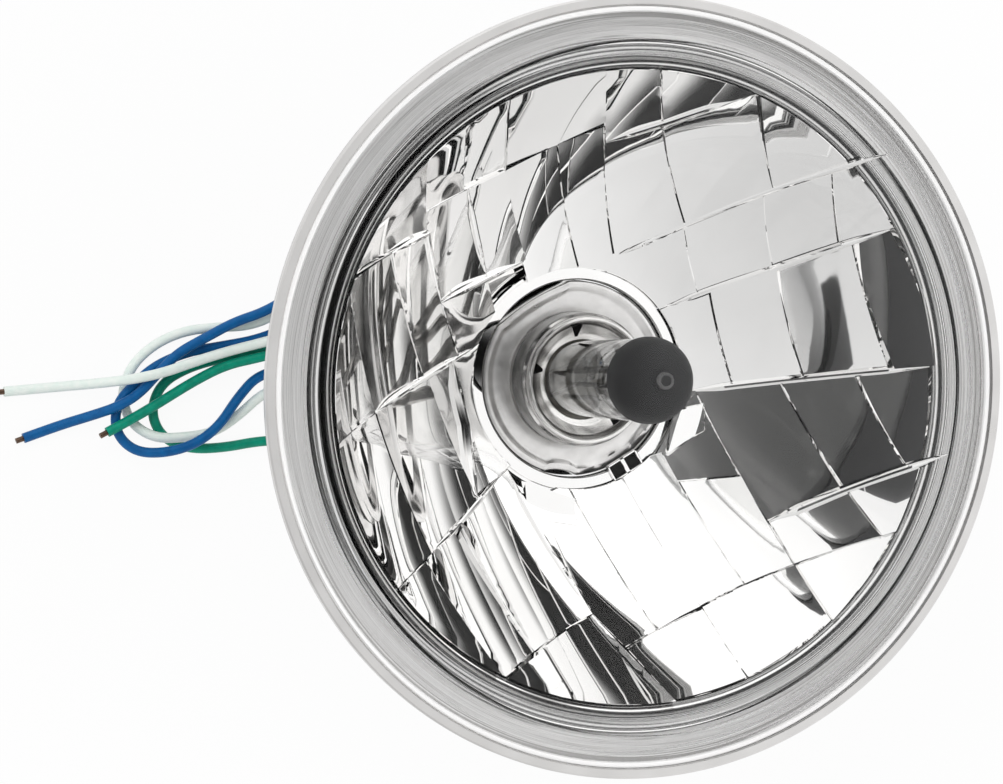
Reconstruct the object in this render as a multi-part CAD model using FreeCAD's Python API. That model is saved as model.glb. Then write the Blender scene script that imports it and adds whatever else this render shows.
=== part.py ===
import FreeCAD, Part
import math
import os

os.makedirs("parts", exist_ok=True)
Vec = FreeCAD.Vector

# A round sealed-lens headlamp unit, face up. +Z is the optical axis, +Y is the lamp's top and
# +X its right-hand side as seen from the front. It stands on the back of its plug, at z = 0.
# All sizes are in millimetres.

# Rim and reflector
RIM_R = 73.0            # outer radius of the rim
CHANNEL_DEPTH = 8.0     # depth of the channel that the lens is bedded in
CHANNEL_WALL = 2.0      # thickness of the channel's two walls
INNER_WALL_DROP = 1.2   # the inner channel wall stops this far below the rim's top
RIM_CHAMFER = 0.3
RIM_STRAIGHT = 1.5      # height of the rim's straight edge; the wall behind it narrows
RIM_TAPER = 0.34        # how much it narrows, per mm of depth
SHELL = 1.8             # reflector wall
MOUTH_R = 59.2          # radius where the curved mirror ends
MOUTH_DEPTH = 4.0       # the mirror ends this far below the rim's top
FOCAL = 23.0            # focal length of the mirror
COLLAR_R = 22.7         # flat collar round the bulb hole
HOLE_R = 19.1           # bulb hole
LUG_LENGTH = 10.0       # three locating lugs behind the rim
LUG_WIDTH = 4.0
LUG_HEIGHT = 4.0
LUG_INSET = 1.7         # the lugs stand this far inside the edge of the rim's back

# Lens
LENS_T = 2.6
LENS_EDGE_GAP = 0.3     # clearance between the lens and the channel's outer wall
STEP_R = 64.7           # radius of the raised front
STEP_H = 4.4            # height of the raised front's edge above the rim
DOME_SAG = 18.0         # the dome's rise above that edge
SKIRT_IN = 64.0         # the skirt that stands in the seal
SKIRT_OUT = 68.5
SEAL_T = 2.0

# Bulb
BASE_LEN = 14.0         # from the lugs' front face to the foot of the base
BULB_LUG_T = 1.2
BULB_LUG_R = 21.5
BULB_LUG_ANGLES = (90.0, 205.0, 335.0)
BULB_LUG_WIDTHS = (8.0, 6.0, 6.0)
DISC_GAP = 0.2          # radial clearance of the bulb's disc in the bulb hole
DISC_DROP = 0.9         # the disc lies this far below the collar's front
DISC_T = 1.0
DISC_HOLE_R = 9.0
CUP_R = 13.0
CUP_H = 8.1
CUP_T = 0.6
GLASS_FOOT_R = 7.2
GLASS_TOP_R = 7.8       # also the radius of its round top
GLASS_T = 0.9
GLASS_TOP = 48.6        # top of the glass above the collar's front
CAP_BAND = 0.8          # the black cap reaches this far below the round top
CAP_T = 0.3
CAP_GAP = 0.03          # hairline between the coating and the glass
TIP_R = 1.2
TIP_H = 0.9             # the glass's sealed tip stands this far above its round top
BULB_LEAN = 2.5         # the glass stands this many degrees off the optical axis
BASE_R = 11.0
BASE_T = 0.8
INSULATOR_H = 5.0
CEMENT_H = 6.0
PINCH = (12.0, 4.0, 8.0)
LOW_BEAM_Z = 29.5       # middle of each filament above the lugs' front face
HIGH_BEAM_Z = 22.5
FILAMENT_R = 0.7
FILAMENT_LEN = 5.6
POST_R = 0.45

# Terminals
BLADE_W = 8.0
BLADE_T = 0.8
BLADE_REACH = 10.0      # length below the bulb's insulator
BLADE_SIDE = 7.8        # distance of the blades from the axis
BLADES = ("ground", "low_beam", "high_beam")

# Holder, clip and latch
HOLDER_T = 1.6
HOLDER_R = 34.0
HOLDER_GAP = 0.2        # the holder's hole is this much wider than the reflector's
SCREW_AT = 27.5         # the holder's screws, left and right of the axis
SCREW_R = 1.4
SCREW_GAP = 0.1
SCREW_HEAD_R = 2.7
SCREW_HEAD_H = 1.6
BOSS_R = 3.4
CLIP_WIRE_R = 0.7
CLIP_GAP = 0.06         # clearance between the clip's wire and what it bears on
CLIP_ARM_X = 15.8
CLIP_HINGE_Y = -25.5
CLIP_BEND = 3.0
CLIP_ARM_END_Y = 15.5
CLIP_TIP = (19.6, 20.0)
KNUCKLE_X = 8.0
KNUCKLE_W = 4.0
KNUCKLE_R = 1.65
BRACKET_T = 0.8
BRACKET_END_Y = -32.5
RIVET_R = 1.3
RIVET_HEAD_R = 2.2
RIVET_HEAD_H = 0.8
LATCH_GAP = 0.35
LATCH_T = 1.0

# Plug
PLUG_W = 27.0           # along X
PLUG_D = 24.0           # along Y
PLUG_H = 26.0
PLUG_CORNER = 4.0
COVER_W = 28.0
COVER_D = 26.0
COVER_H = 10.0
COVER_WALL = 2.4
COVER_FLOOR = 2.4
PLUG_GAP = 0.3          # between the plug and the bulb's insulator
SOCKET_LEN = 19.0
SOCKET_T = 0.5
SOCKET_GAP = 0.12       # between a blade and its socket
CAVITY_GAP = 0.2        # between a socket and the plug's cavity
CRIMP_R = 1.3
CRIMP_LEN = 4.5
GROMMET_R = 1.8
GROMMET_LIP_R = 1.95     # small enough for the wires to lie a wire apart
GROMMET_LIP = 1.2

# Wires
WIRE_R = 1.0
CORE_R = 0.55
CORE_LEN = 1.6
WIRE_EXIT_Z = 5.0
WIRE_EXIT_GAP = 0.05

# Heights worked out from the foot upwards
REF_Z = COVER_H + PLUG_H + PLUG_GAP + BASE_LEN
COLLAR_BACK_Z = REF_Z + HOLDER_T
COLLAR_Z = COLLAR_BACK_Z + SHELL
VERTEX_Z = COLLAR_Z - COLLAR_R ** 2 / (4 * FOCAL)
MOUTH_Z = VERTEX_Z + MOUTH_R ** 2 / (4 * FOCAL)
RIM_Z = MOUTH_Z + MOUTH_DEPTH
CHANNEL_FLOOR_Z = RIM_Z - CHANNEL_DEPTH
RIM_BACK_Z = CHANNEL_FLOOR_Z - SHELL
DISC_Z = COLLAR_Z - DISC_DROP
CUP_TOP_Z = DISC_Z + CUP_H
INSULATOR_TOP_Z = REF_Z - BASE_LEN + INSULATOR_H
CLIP_Z = REF_Z - BULB_LUG_T - CLIP_WIRE_R - CLIP_GAP
GLASS_BOTTOM_Z = DISC_Z + 0.4
CAVITY_FLOOR_Z = COVER_H + PLUG_H - SOCKET_LEN - 1.0

# Each wire's route, from inside the plug's cover to its bare end. The wires lie on the floor,
# in one loose loop, and pass over each other in low humps.
ROUTES = {
    "white": [
        (0, 9, 5), (0, 18.5, 5), (-4, 27, 2.5), (-13, 32.5, 1), (-23, 32.4, 1),
        (-31, 28.2, 1), (-38, 23.7, 1), (-45, 22.9, 1), (-52, 24.8, 1), (-58.5, 26.2, 1),
        (-65.2, 25.6, 1), (-71.2, 22.8, 1), (-74.8, 17.6, 1), (-74.6, 12, 1.8), (-71.2, 8, 3.4),
        (-66, 6.4, 3.5), (-59.5, 5.2, 3.2), (-53, 6.5, 1), (-46.5, 9.4, 1), (-39.5, 9.6, 1),
        (-33.4, 7.4, 3.4), (-27.4, 5.8, 3.4), (-21.6, 6.8, 2.4), (-18, 11, 2.4),
        (-18.4, 16.6, 3.6), (-22.8, 20.4, 5.4), (-29, 20.8, 5.8), (-36, 19.2, 5.4),
        (-44, 19.3, 3.9), (-51.5, 19.9, 3.9), (-59, 20.2, 5), (-66.2, 20.2, 6.2),
        (-72.5, 20.9, 6.2), (-79, 22, 3.6), (-87, 23.7, 1), (-97, 26, 1)],
    "blue": [
        (-4, 9, 5), (-4, 17.5, 5), (-7.5, 25, 2.5), (-15.5, 29, 1), (-24, 28.2, 1),
        (-32, 24, 1), (-38.5, 20.2, 1), (-45, 19.9, 1), (-52, 20.9, 1), (-59, 22, 1),
        (-66, 21.5, 1), (-72, 19.6, 3.4), (-76.8, 16.8, 3.4), (-78.4, 11.4, 2.8),
        (-76, 6.7, 3.8), (-70.5, 4.8, 5.7), (-64, 4.6, 5.8), (-58.3, 6.6, 5.7),
        (-52.5, 10.2, 2.6), (-46.5, 13.2, 1), (-39.6, 12.2, 1.8), (-33, 11, 3.6),
        (-27, 13.7, 3.4), (-25, 19.8, 3.4), (-28.8, 25, 3.4), (-35.4, 26.6, 3.4),
        (-42, 25, 3.4), (-48.8, 25, 3.4), (-55.5, 23.8, 3.4), (-61.8, 22.7, 3.5),
        (-67, 20.1, 3.9), (-72, 17.6, 5), (-77, 16.6, 5.7), (-82, 16.3, 3.4),
        (-88.5, 16.2, 1), (-96, 16, 1)],
    "green": [
        (-8, 9, 5), (-8, 16.5, 5), (-11, 22.5, 3), (-17.5, 25.5, 1), (-25, 24, 1),
        (-31.6, 20.4, 1), (-38, 17.2, 1), (-45, 17.3, 1), (-52.4, 18.6, 1), (-60, 19, 1),
        (-66.4, 17.6, 1), (-70, 12.8, 1), (-69.2, 7.2, 1), (-64.6, 3.4, 1), (-57.8, 1.4, 1),
        (-50.5, 0.4, 1), (-44, -1.5, 1), (-37.4, -2, 1), (-31.6, 1.6, 1), (-29.6, 7.6, 1),
        (-32.6, 13.2, 1), (-38.6, 16.2, 2.8), (-45.6, 16.6, 3.4), (-53, 17.4, 3.4),
        (-60.5, 16.3, 3.6), (-68, 14.7, 4.5), (-75, 13.3, 5.1), (-80.5, 12.4, 5.2)],
}


def save(name, shape):
    shape.exportStep("parts/" + name + ".step")
    print("%-24s solids %d  volume %10.1f" % (name, len(shape.Solids), shape.Volume))


def box(x, y, z):
    """A box from its (low, high) limits along each axis."""
    low = Vec(x[0], y[0], z[0])
    return Part.makeBox(x[1] - x[0], y[1] - y[0], z[1] - z[0], low)


def cylinder(radius, z, x=0.0, y=0.0):
    return Part.makeCylinder(radius, z[1] - z[0], Vec(x, y, z[0]))


def turned(points):
    """The solid that a closed outline of (radius, z) points sweeps round the axis."""
    corners = [Vec(r, 0, z) for r, z in points]
    wire = Part.makePolygon(corners + corners[:1])
    return Part.Face(wire).revolve(Vec(0, 0, 0), Vec(0, 0, 1), 360)


def turned_edges(edges):
    face = Part.Face(Part.Wire(Part.__sortEdges__(edges)))
    return face.revolve(Vec(0, 0, 0), Vec(0, 0, 1), 360)


def line(a, b):
    return Part.LineSegment(Vec(a[0], 0, a[1]), Vec(b[0], 0, b[1])).toShape()


def arc(a, middle, b):
    points = [Vec(p[0], 0, p[1]) for p in (a, middle, b)]
    return Part.Arc(*points).toShape()


def smooth(points):
    curve = Part.BSplineCurve()
    curve.interpolate([Vec(r, 0, z) for r, z in points])
    return curve.toShape()


def lines(points):
    return [line(a, b) for a, b in zip(points, points[1:])]


def union(shapes):
    whole = shapes[0]
    for shape in shapes[1:]:
        whole = whole.fuse(shape)
    return whole.removeSplitter()


def rounded_block(width, depth, z, corner):
    block = box((-width / 2, width / 2), (-depth / 2, depth / 2), z)
    upright = [e for e in block.Edges if abs(e.BoundBox.ZLength - (z[1] - z[0])) < 1e-6]
    return block.makeFillet(corner, upright)


def mirror_point(r):
    return (r, VERTEX_Z + r * r / (4 * FOCAL))


def back_point(r):
    """The point of the reflector's back behind the mirror's point at radius r."""
    slope = math.atan2(r, 2 * FOCAL)
    z = mirror_point(r)[1]
    return (r + SHELL * math.sin(slope), z - SHELL * math.cos(slope))


def back_radius_at(z):
    """The mirror radius whose back point has the height z, by halving."""
    low, high = COLLAR_R, MOUTH_R
    for _ in range(50):
        middle = (low + high) / 2
        if back_point(middle)[1] < z:
            low = middle
        else:
            high = middle
    return low


def edge_radius(z):
    """The radius of the rim's outer wall at the height z."""
    depth = RIM_Z - RIM_STRAIGHT - z
    return RIM_R - RIM_TAPER * max(depth, 0.0)


def channel_radius(z):
    """The radius of the channel's outer side at the height z."""
    return edge_radius(z) - CHANNEL_WALL


def steps(a, b, count):
    return [a + (b - a) * i / count for i in range(count + 1)]


def make_reflector():
    end = back_radius_at(RIM_BACK_Z)
    mirror = [mirror_point(r) for r in steps(COLLAR_R, MOUTH_R, 10)]
    back = [back_point(r) for r in steps(COLLAR_R, end, 10)]
    wall_r = MOUTH_R + CHANNEL_WALL
    wall_z = RIM_Z - INNER_WALL_DROP
    bend_z = RIM_Z - RIM_STRAIGHT
    rim = [mirror[-1], (MOUTH_R, wall_z), (wall_r, wall_z), (wall_r, CHANNEL_FLOOR_Z),
           (channel_radius(CHANNEL_FLOOR_Z), CHANNEL_FLOOR_Z), (channel_radius(bend_z), bend_z),
           (channel_radius(RIM_Z), RIM_Z), (RIM_R - RIM_CHAMFER, RIM_Z),
           (RIM_R, RIM_Z - RIM_CHAMFER), (RIM_R, bend_z), (edge_radius(RIM_BACK_Z), RIM_BACK_Z),
           back[-1]]
    neck = [back[0], (back[0][0], COLLAR_BACK_Z), (HOLE_R, COLLAR_BACK_Z),
            (HOLE_R, COLLAR_Z), mirror[0]]
    shell = turned_edges([smooth(mirror), smooth(back)] + lines(rim) + lines(neck))
    pieces = [shell]
    for side in (-1, 1):
        top = mirror_point(SCREW_AT)[1]
        boss = cylinder(BOSS_R, (COLLAR_BACK_Z, top), side * SCREW_AT)
        hollow = turned_edges(
            [smooth([mirror_point(r) for r in steps(COLLAR_R, MOUTH_R, 10)])]
            + lines([mirror_point(MOUTH_R), (0, MOUTH_Z), (0, COLLAR_Z), mirror_point(COLLAR_R)]))
        pieces.append(boss.cut(hollow))
    reach = edge_radius(RIM_BACK_Z) - LUG_INSET
    for angle in (90, 210, 330):
        lug = box((reach - LUG_WIDTH, reach), (-LUG_LENGTH / 2, LUG_LENGTH / 2),
                  (RIM_BACK_Z - LUG_HEIGHT, RIM_BACK_Z))
        lug.rotate(Vec(0, 0, 0), Vec(0, 0, 1), angle)
        pieces.append(lug)
    shape = union(pieces)
    for side in (-1, 1):
        hole = cylinder(SCREW_R + SCREW_GAP, (COLLAR_BACK_Z, COLLAR_Z), side * SCREW_AT)
        shape = shape.cut(hole)
    return shape


def make_lens():
    edge_r = channel_radius(RIM_Z) - LENS_EDGE_GAP
    top = RIM_Z + STEP_H
    apex = top + DOME_SAG
    dome_r = STEP_R - 1.2
    in_r = STEP_R - LENS_T
    in_top = top - LENS_T

    def dome_z(r, span, base, rise):
        return base + rise * (1 - (r / span) ** 2)

    outer = arc((0, apex), (dome_r / 2, dome_z(dome_r / 2, dome_r, top, DOME_SAG)),
                (dome_r, top))
    inner_r = in_r - 0.8
    inner = arc((0, apex - LENS_T),
                (inner_r / 2, dome_z(inner_r / 2, inner_r, in_top, DOME_SAG)),
                (inner_r, in_top))
    under = RIM_Z - 3.4
    foot = CHANNEL_FLOOR_Z + SEAL_T
    edge = [(dome_r, top), (STEP_R, top - 1.0), (STEP_R + 0.3, RIM_Z + 0.4),
            (STEP_R + 0.9, RIM_Z + 0.2), (edge_r - 0.9, RIM_Z - 0.6), (edge_r, RIM_Z - 1.5),
            (channel_radius(under) - LENS_EDGE_GAP, under), (SKIRT_OUT, under),
            (SKIRT_OUT, foot), (SKIRT_IN, foot),
            (SKIRT_IN, under), (in_r, under), (in_r, in_top - 0.8), (inner_r, in_top)]
    axis = line((0, apex - LENS_T), (0, apex))
    return turned_edges([outer, inner, axis] + lines(edge))


def make_lens_seal():
    inner = MOUTH_R + CHANNEL_WALL
    top = CHANNEL_FLOOR_Z + SEAL_T
    return turned([(inner, CHANNEL_FLOOR_Z), (channel_radius(CHANNEL_FLOOR_Z), CHANNEL_FLOOR_Z),
                   (channel_radius(top), top), (inner, top)])


def make_bulb_holder():
    plate = cylinder(HOLDER_R, (REF_Z, REF_Z + HOLDER_T))
    plate = plate.cut(cylinder(HOLE_R + HOLDER_GAP, (REF_Z, REF_Z + HOLDER_T)))
    for x, y, r in fastener_places():
        plate = plate.cut(cylinder(r, (REF_Z, REF_Z + HOLDER_T), x, y))
    return plate


def fastener_places():
    """Where the holder plate is drilled: (x, y, radius) of each hole."""
    places = [(side * SCREW_AT, 0.0, SCREW_R + SCREW_GAP) for side in (-1, 1)]
    places += [(x, y, RIVET_R) for x, y in rivet_places()]
    return places


def rivet_places():
    hinge = [(side * 3.0, BRACKET_END_Y + 3.0) for side in (-1, 1)]
    latch = [(side * (CLIP_TIP[0] - 2.4), CLIP_TIP[1] + 5.0) for side in (-1, 1)]
    return hinge + latch


def make_holder_screws():
    screws = []
    for side in (-1, 1):
        x = side * SCREW_AT
        shank = cylinder(SCREW_R, (REF_Z, COLLAR_Z - 0.2), x)
        head = cylinder(SCREW_HEAD_R, (REF_Z - SCREW_HEAD_H, REF_Z), x)
        head = head.makeFillet(0.5, [e for e in head.Edges if e.BoundBox.ZMax < REF_Z - 0.5
                                     and e.BoundBox.ZLength < 1e-6])
        slot = box((x - SCREW_HEAD_R, x + SCREW_HEAD_R), (-0.4, 0.4),
                   (REF_Z - SCREW_HEAD_H, REF_Z - SCREW_HEAD_H + 0.7))
        screws.append(shank.fuse(head).removeSplitter().cut(slot))
    return Part.makeCompound(screws)


def make_rivets():
    """Rivets through the holder and the sheet under it, with a head at each side."""
    top = REF_Z + HOLDER_T
    low = REF_Z - BRACKET_T
    rivets = []
    for x, y in rivet_places():
        shank = cylinder(RIVET_R, (low, top), x, y)
        upper = cylinder(RIVET_HEAD_R, (top, top + RIVET_HEAD_H), x, y)
        lower = cylinder(RIVET_HEAD_R, (low - RIVET_HEAD_H, low), x, y)
        rivets.append(union([shank, upper, lower]))
    return Part.makeCompound(rivets)


def make_clip_bracket():
    low = REF_Z - BRACKET_T
    half = KNUCKLE_X + KNUCKLE_W / 2
    plate = box((-half, half), (BRACKET_END_Y, CLIP_HINGE_Y - KNUCKLE_R), (low, REF_Z))
    pieces = [plate]
    for side in (-1, 1):
        start = side * KNUCKLE_X - KNUCKLE_W / 2
        knuckle = Part.makeCylinder(KNUCKLE_R, KNUCKLE_W, Vec(start, CLIP_HINGE_Y, CLIP_Z),
                                    Vec(1, 0, 0))
        web = box((start, start + KNUCKLE_W), (CLIP_HINGE_Y - KNUCKLE_R, CLIP_HINGE_Y),
                  (CLIP_Z, low + 0.1))
        pieces += [knuckle, web]
    shape = union(pieces)
    bore = Part.makeCylinder(CLIP_WIRE_R + 0.05, 4 * half, Vec(-2 * half, CLIP_HINGE_Y, CLIP_Z),
                             Vec(1, 0, 0))
    shape = shape.cut(bore)
    for x, y in rivet_places()[:2]:
        shape = shape.cut(cylinder(RIVET_R, (low, REF_Z), x, y))
    return shape


def make_latch_hooks():
    hooks = []
    low = REF_Z - BRACKET_T
    for side, (x, y) in zip((-1, 1), rivet_places()[2:]):
        inner = CLIP_TIP[0] + CLIP_WIRE_R + LATCH_GAP
        outer = inner + LATCH_T
        drop = CLIP_Z - CLIP_WIRE_R - 1.6
        tab_x = sorted((side * inner, side * outer))
        plate_x = sorted((side * (abs(x) - 3.0), side * outer))
        tab_y = (CLIP_TIP[1] - 2.5, y + 2.6)
        plate = box(plate_x, (y - 2.6, y + 2.6), (low, REF_Z))
        tab = box(tab_x, tab_y, (drop, REF_Z))
        hook = plate.fuse(tab).removeSplitter()
        hooks.append(hook.cut(cylinder(RIVET_R, (low, REF_Z), x, y)))
    return Part.makeCompound(hooks)


def rounded_path(points, radii):
    """Straight runs joined by tangent arcs. radii gives the arc at each inner point."""
    edges = []
    start = points[0]
    for i in range(1, len(points) - 1):
        corner = points[i]
        back = (points[i - 1] - corner).normalize()
        ahead = (points[i + 1] - corner).normalize()
        turn = math.pi - back.getAngle(ahead)
        reach = radii[i - 1] * math.tan(turn / 2)
        a = corner + back * reach
        b = corner + ahead * reach
        inward = (back + ahead).normalize()
        rise = radii[i - 1] * (1 / math.cos(turn / 2) - 1)
        edges.append(Part.LineSegment(start, a).toShape())
        edges.append(Part.Arc(a, corner + inward * rise, b).toShape())
        start = b
    edges.append(Part.LineSegment(start, points[-1]).toShape())
    return Part.Wire(edges)


def tube(path, radius):
    first = path.Edges[0]
    start = first.valueAt(first.FirstParameter)
    heading = first.tangentAt(first.FirstParameter)
    section = Part.Wire(Part.Circle(start, heading, radius).toShape())
    return path.makePipeShell([section], True, False)


def make_bulb_clip():
    """One piece of spring wire: a hinge bar and two arms with their ends turned outwards."""
    half = [(CLIP_TIP[0], CLIP_TIP[1]), (CLIP_ARM_X, CLIP_ARM_END_Y),
            (CLIP_ARM_X, CLIP_HINGE_Y)]
    flat = half + [(-x, y) for x, y in reversed(half)]
    points = [Vec(x, y, CLIP_Z) for x, y in flat]
    return tube(rounded_path(points, [CLIP_BEND] * (len(points) - 2)), CLIP_WIRE_R)


def make_bulb_flange():
    disc_r = HOLE_R - DISC_GAP
    foot = REF_Z - BULB_LUG_T
    shape = turned([(DISC_HOLE_R, DISC_Z - DISC_T), (disc_r - DISC_T, DISC_Z - DISC_T),
                    (disc_r - DISC_T, foot), (disc_r, foot), (disc_r, DISC_Z - 0.5),
                    (disc_r - 0.5, DISC_Z), (DISC_HOLE_R, DISC_Z)])
    lugs = []
    for angle, width in zip(BULB_LUG_ANGLES, BULB_LUG_WIDTHS):
        lug = box((disc_r - DISC_T, BULB_LUG_R), (-width / 2, width / 2), (foot, REF_Z))
        lug.rotate(Vec(0, 0, 0), Vec(0, 0, 1), angle)
        lugs.append(lug.cut(cylinder(disc_r - DISC_T, (foot, REF_Z))))
    shape = union([shape] + lugs)
    # Flats on the disc's edge: (direction in degrees, distance from the axis).
    for angle, reach in ((297.0, 17.3), (115.0, 18.3), (240.0, 18.4)):
        flat = box((reach, reach + 5), (-12, 12), (REF_Z, DISC_Z + 1))
        flat.rotate(Vec(0, 0, 0), Vec(0, 0, 1), angle)
        shape = shape.cut(flat)
    return shape


def make_bulb_cup():
    low = DISC_Z
    top = CUP_TOP_Z
    seat = GLASS_FOOT_R + 0.45
    shape = turned([(CUP_R - CUP_T, low), (CUP_R, low), (CUP_R - 0.1, top - 1.9),
                    (CUP_R - 0.6, top - 0.3), (CUP_R - 1.2, top), (CUP_R - 1.8, top - 0.5),
                    (seat, top - 3.4), (seat, top - 4.2), (CUP_R - 1.9, top - 1.4),
                    (CUP_R - 1.1, top - 1.4), (CUP_R - CUP_T - 0.1, top - 2.2)])
    for angle in (82.0, 150.0, 292.0):
        slot = box((seat - 1, seat + 1.9), (-1.3, 1.3), (top - 5, top))
        slot.rotate(Vec(0, 0, 0), Vec(0, 0, 1), angle)
        shape = shape.cut(slot)
    return shape


def leaned(shape):
    """Tilts a piece of the bulb towards the lamp's top, about the middle of the cup's foot."""
    shape.rotate(Vec(0, 0, DISC_Z), Vec(1, 0, 0), -BULB_LEAN)
    return shape


def dome_centre():
    return COLLAR_Z + GLASS_TOP - GLASS_TOP_R


def glass_side(z):
    """The glass's outer radius between its straight foot and its round top."""
    start = DISC_Z + 10
    share = (z - start) / (dome_centre() - start)
    return GLASS_FOOT_R + (GLASS_TOP_R - GLASS_FOOT_R) * share


def dome_arc(radius, start_r):
    """The round top's outline, from its side up to the radius start_r beside the tip."""
    centre = dome_centre()
    end_z = centre + math.sqrt(radius ** 2 - start_r ** 2)
    half = math.radians(45)
    return arc((radius, centre), (radius * math.cos(half), centre + radius * math.sin(half)),
               (start_r, end_z)), (start_r, end_z)


def make_bulb_glass():
    centre = dome_centre()
    tip_z = centre + GLASS_TOP_R + TIP_H
    outer_arc, shoulder = dome_arc(GLASS_TOP_R, TIP_R)
    outer = turned_edges([outer_arc] + lines(
        [shoulder, (TIP_R, tip_z), (0, tip_z), (0, GLASS_BOTTOM_Z),
         (GLASS_FOOT_R, GLASS_BOTTOM_Z), (GLASS_FOOT_R, DISC_Z + 10), (GLASS_TOP_R, centre)]))
    in_r = GLASS_TOP_R - GLASS_T
    in_foot = GLASS_FOOT_R - GLASS_T
    inner_arc, crown = dome_arc(in_r, 0.0)
    inner = turned_edges([inner_arc] + lines(
        [crown, (0, GLASS_BOTTOM_Z + GLASS_T), (in_foot, GLASS_BOTTOM_Z + GLASS_T),
         (in_foot, DISC_Z + 10), (in_r, centre)]))
    return leaned(outer.cut(inner))


def make_black_cap():
    """The dark coating on the glass's round top."""
    centre = dome_centre()
    low = centre - CAP_BAND
    tip_z = centre + GLASS_TOP_R + TIP_H
    skin_r = GLASS_TOP_R + CAP_T
    outer_arc, outer_shoulder = dome_arc(skin_r, TIP_R + CAP_T)
    tip_r = TIP_R + CAP_GAP
    under_z = tip_z + CAP_GAP
    inner_arc, shoulder = dome_arc(GLASS_TOP_R + CAP_GAP, tip_r)
    outline = lines([outer_shoulder, (TIP_R + CAP_T, tip_z + CAP_T), (0, tip_z + CAP_T),
                     (0, under_z), (tip_r, under_z), shoulder])
    outline += lines([(GLASS_TOP_R + CAP_GAP, centre), (glass_side(low) + CAP_GAP, low),
                      (glass_side(low) + CAP_T, low), (skin_r, centre)])
    return leaned(turned_edges([outer_arc, inner_arc] + outline))


def make_filament(height, x, y):
    z = REF_Z + height
    return leaned(cylinder(FILAMENT_R, (z - FILAMENT_LEN / 2, z + FILAMENT_LEN / 2), x, y))


def make_low_beam_shield():
    low = REF_Z + LOW_BEAM_Z - FILAMENT_LEN / 2 - 0.8
    high = REF_Z + LOW_BEAM_Z + FILAMENT_LEN / 2 + 1.4
    shell = cylinder(3.4, (low, high)).cut(cylinder(3.1, (low, high)))
    half = shell.common(box((-5, 5), (-5, -0.4), (low, high)))
    end = cylinder(3.4, (low - 0.3, low)).common(box((-5, 5), (-5, -0.4), (low - 1, low)))
    return leaned(half.fuse(end).removeSplitter())


def make_filament_posts():
    foot = GLASS_BOTTOM_Z + GLASS_T
    low_z = REF_Z + LOW_BEAM_Z
    high_z = REF_Z + HIGH_BEAM_Z
    half = FILAMENT_LEN / 2
    posts = [
        cylinder(POST_R, (foot, low_z + half), 0.0, 1.4),
        cylinder(POST_R, (foot, low_z - half - 1.3), -2.6, -2.6),
        cylinder(POST_R, (foot, high_z + half), 1.5, -1.6),
        cylinder(POST_R, (foot, high_z - half - 0.3), 3.6, 0.6)]
    return leaned(Part.makeCompound(posts))


def make_glass_pinch():
    width, depth, height = PINCH
    return box((-width / 2, width / 2), (-depth / 2, depth / 2),
               (GLASS_BOTTOM_Z - 0.3 - height, GLASS_BOTTOM_Z - 0.3))


def make_bulb_base():
    low = INSULATOR_TOP_Z
    return turned([(BASE_R - BASE_T, low), (BASE_R, low), (BASE_R, DISC_Z - DISC_T),
                   (BASE_R - BASE_T, DISC_Z - DISC_T)])


def make_base_cement():
    width, depth, _ = PINCH
    fill = cylinder(BASE_R - BASE_T, (INSULATOR_TOP_Z, INSULATOR_TOP_Z + CEMENT_H))
    return fill.cut(box((-width / 2, width / 2), (-depth / 2, depth / 2),
                        (GLASS_BOTTOM_Z - 0.3 - PINCH[2], INSULATOR_TOP_Z + CEMENT_H)))


def blade_box(kind, grow, z):
    """A terminal's section, grown by grow on every side, between two heights."""
    long = BLADE_W / 2 + grow
    thin = BLADE_T / 2 + grow
    if kind == "ground":
        return box((-long, long), (BLADE_SIDE - thin, BLADE_SIDE + thin), z)
    side = -1 if kind == "low_beam" else 1
    middle = side * BLADE_SIDE
    return box((middle - thin, middle + thin), (-2.0 - long, -2.0 + long), z)


def make_base_insulator():
    low = REF_Z - BASE_LEN
    disc = cylinder(BASE_R, (low, INSULATOR_TOP_Z))
    disc = disc.makeFillet(0.6, [e for e in disc.Edges if e.BoundBox.ZMax < low + 0.1])
    for kind in BLADES:
        disc = disc.cut(blade_box(kind, 0.0, (low, INSULATOR_TOP_Z)))
    return disc


def make_blade(kind):
    low = REF_Z - BASE_LEN - BLADE_REACH
    return blade_box(kind, 0.0, (low, INSULATOR_TOP_Z))


def make_sockets():
    """The plug's female terminals: a box round each blade, with a crimp barrel under it."""
    low = CAVITY_FLOOR_Z
    sockets = []
    for kind in BLADES:
        outer = blade_box(kind, SOCKET_GAP + SOCKET_T, (low, low + SOCKET_LEN))
        inner = blade_box(kind, SOCKET_GAP, (low + SOCKET_T, low + SOCKET_LEN))
        middle = outer.BoundBox.Center
        crimp = cylinder(CRIMP_R, (low - CRIMP_LEN, low), middle.x, middle.y)
        sockets.append(outer.cut(inner).fuse(crimp).removeSplitter())
    return Part.makeCompound(sockets)


def make_plug_housing():
    low, high = COVER_H, COVER_H + PLUG_H
    block = rounded_block(PLUG_W, PLUG_D, (low, high), PLUG_CORNER)
    for kind in BLADES:
        cavity = blade_box(kind, SOCKET_GAP + SOCKET_T + CAVITY_GAP, (CAVITY_FLOOR_Z, high))
        middle = cavity.BoundBox.Center
        barrel = cylinder(CRIMP_R + CAVITY_GAP, (low, CAVITY_FLOOR_Z), middle.x, middle.y)
        block = block.cut(cavity).cut(barrel)
    # Grip ribs on the two long sides.
    for side in (-1, 1):
        for z in steps(low + 6, high - 8, 4):
            y = sorted((side * (PLUG_D / 2 - 0.6), side * (PLUG_D / 2 + 1)))
            groove = box((-PLUG_W / 2 + 5, PLUG_W / 2 - 5), y, (z, z + 1.4))
            block = block.cut(groove)
    return block


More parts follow.
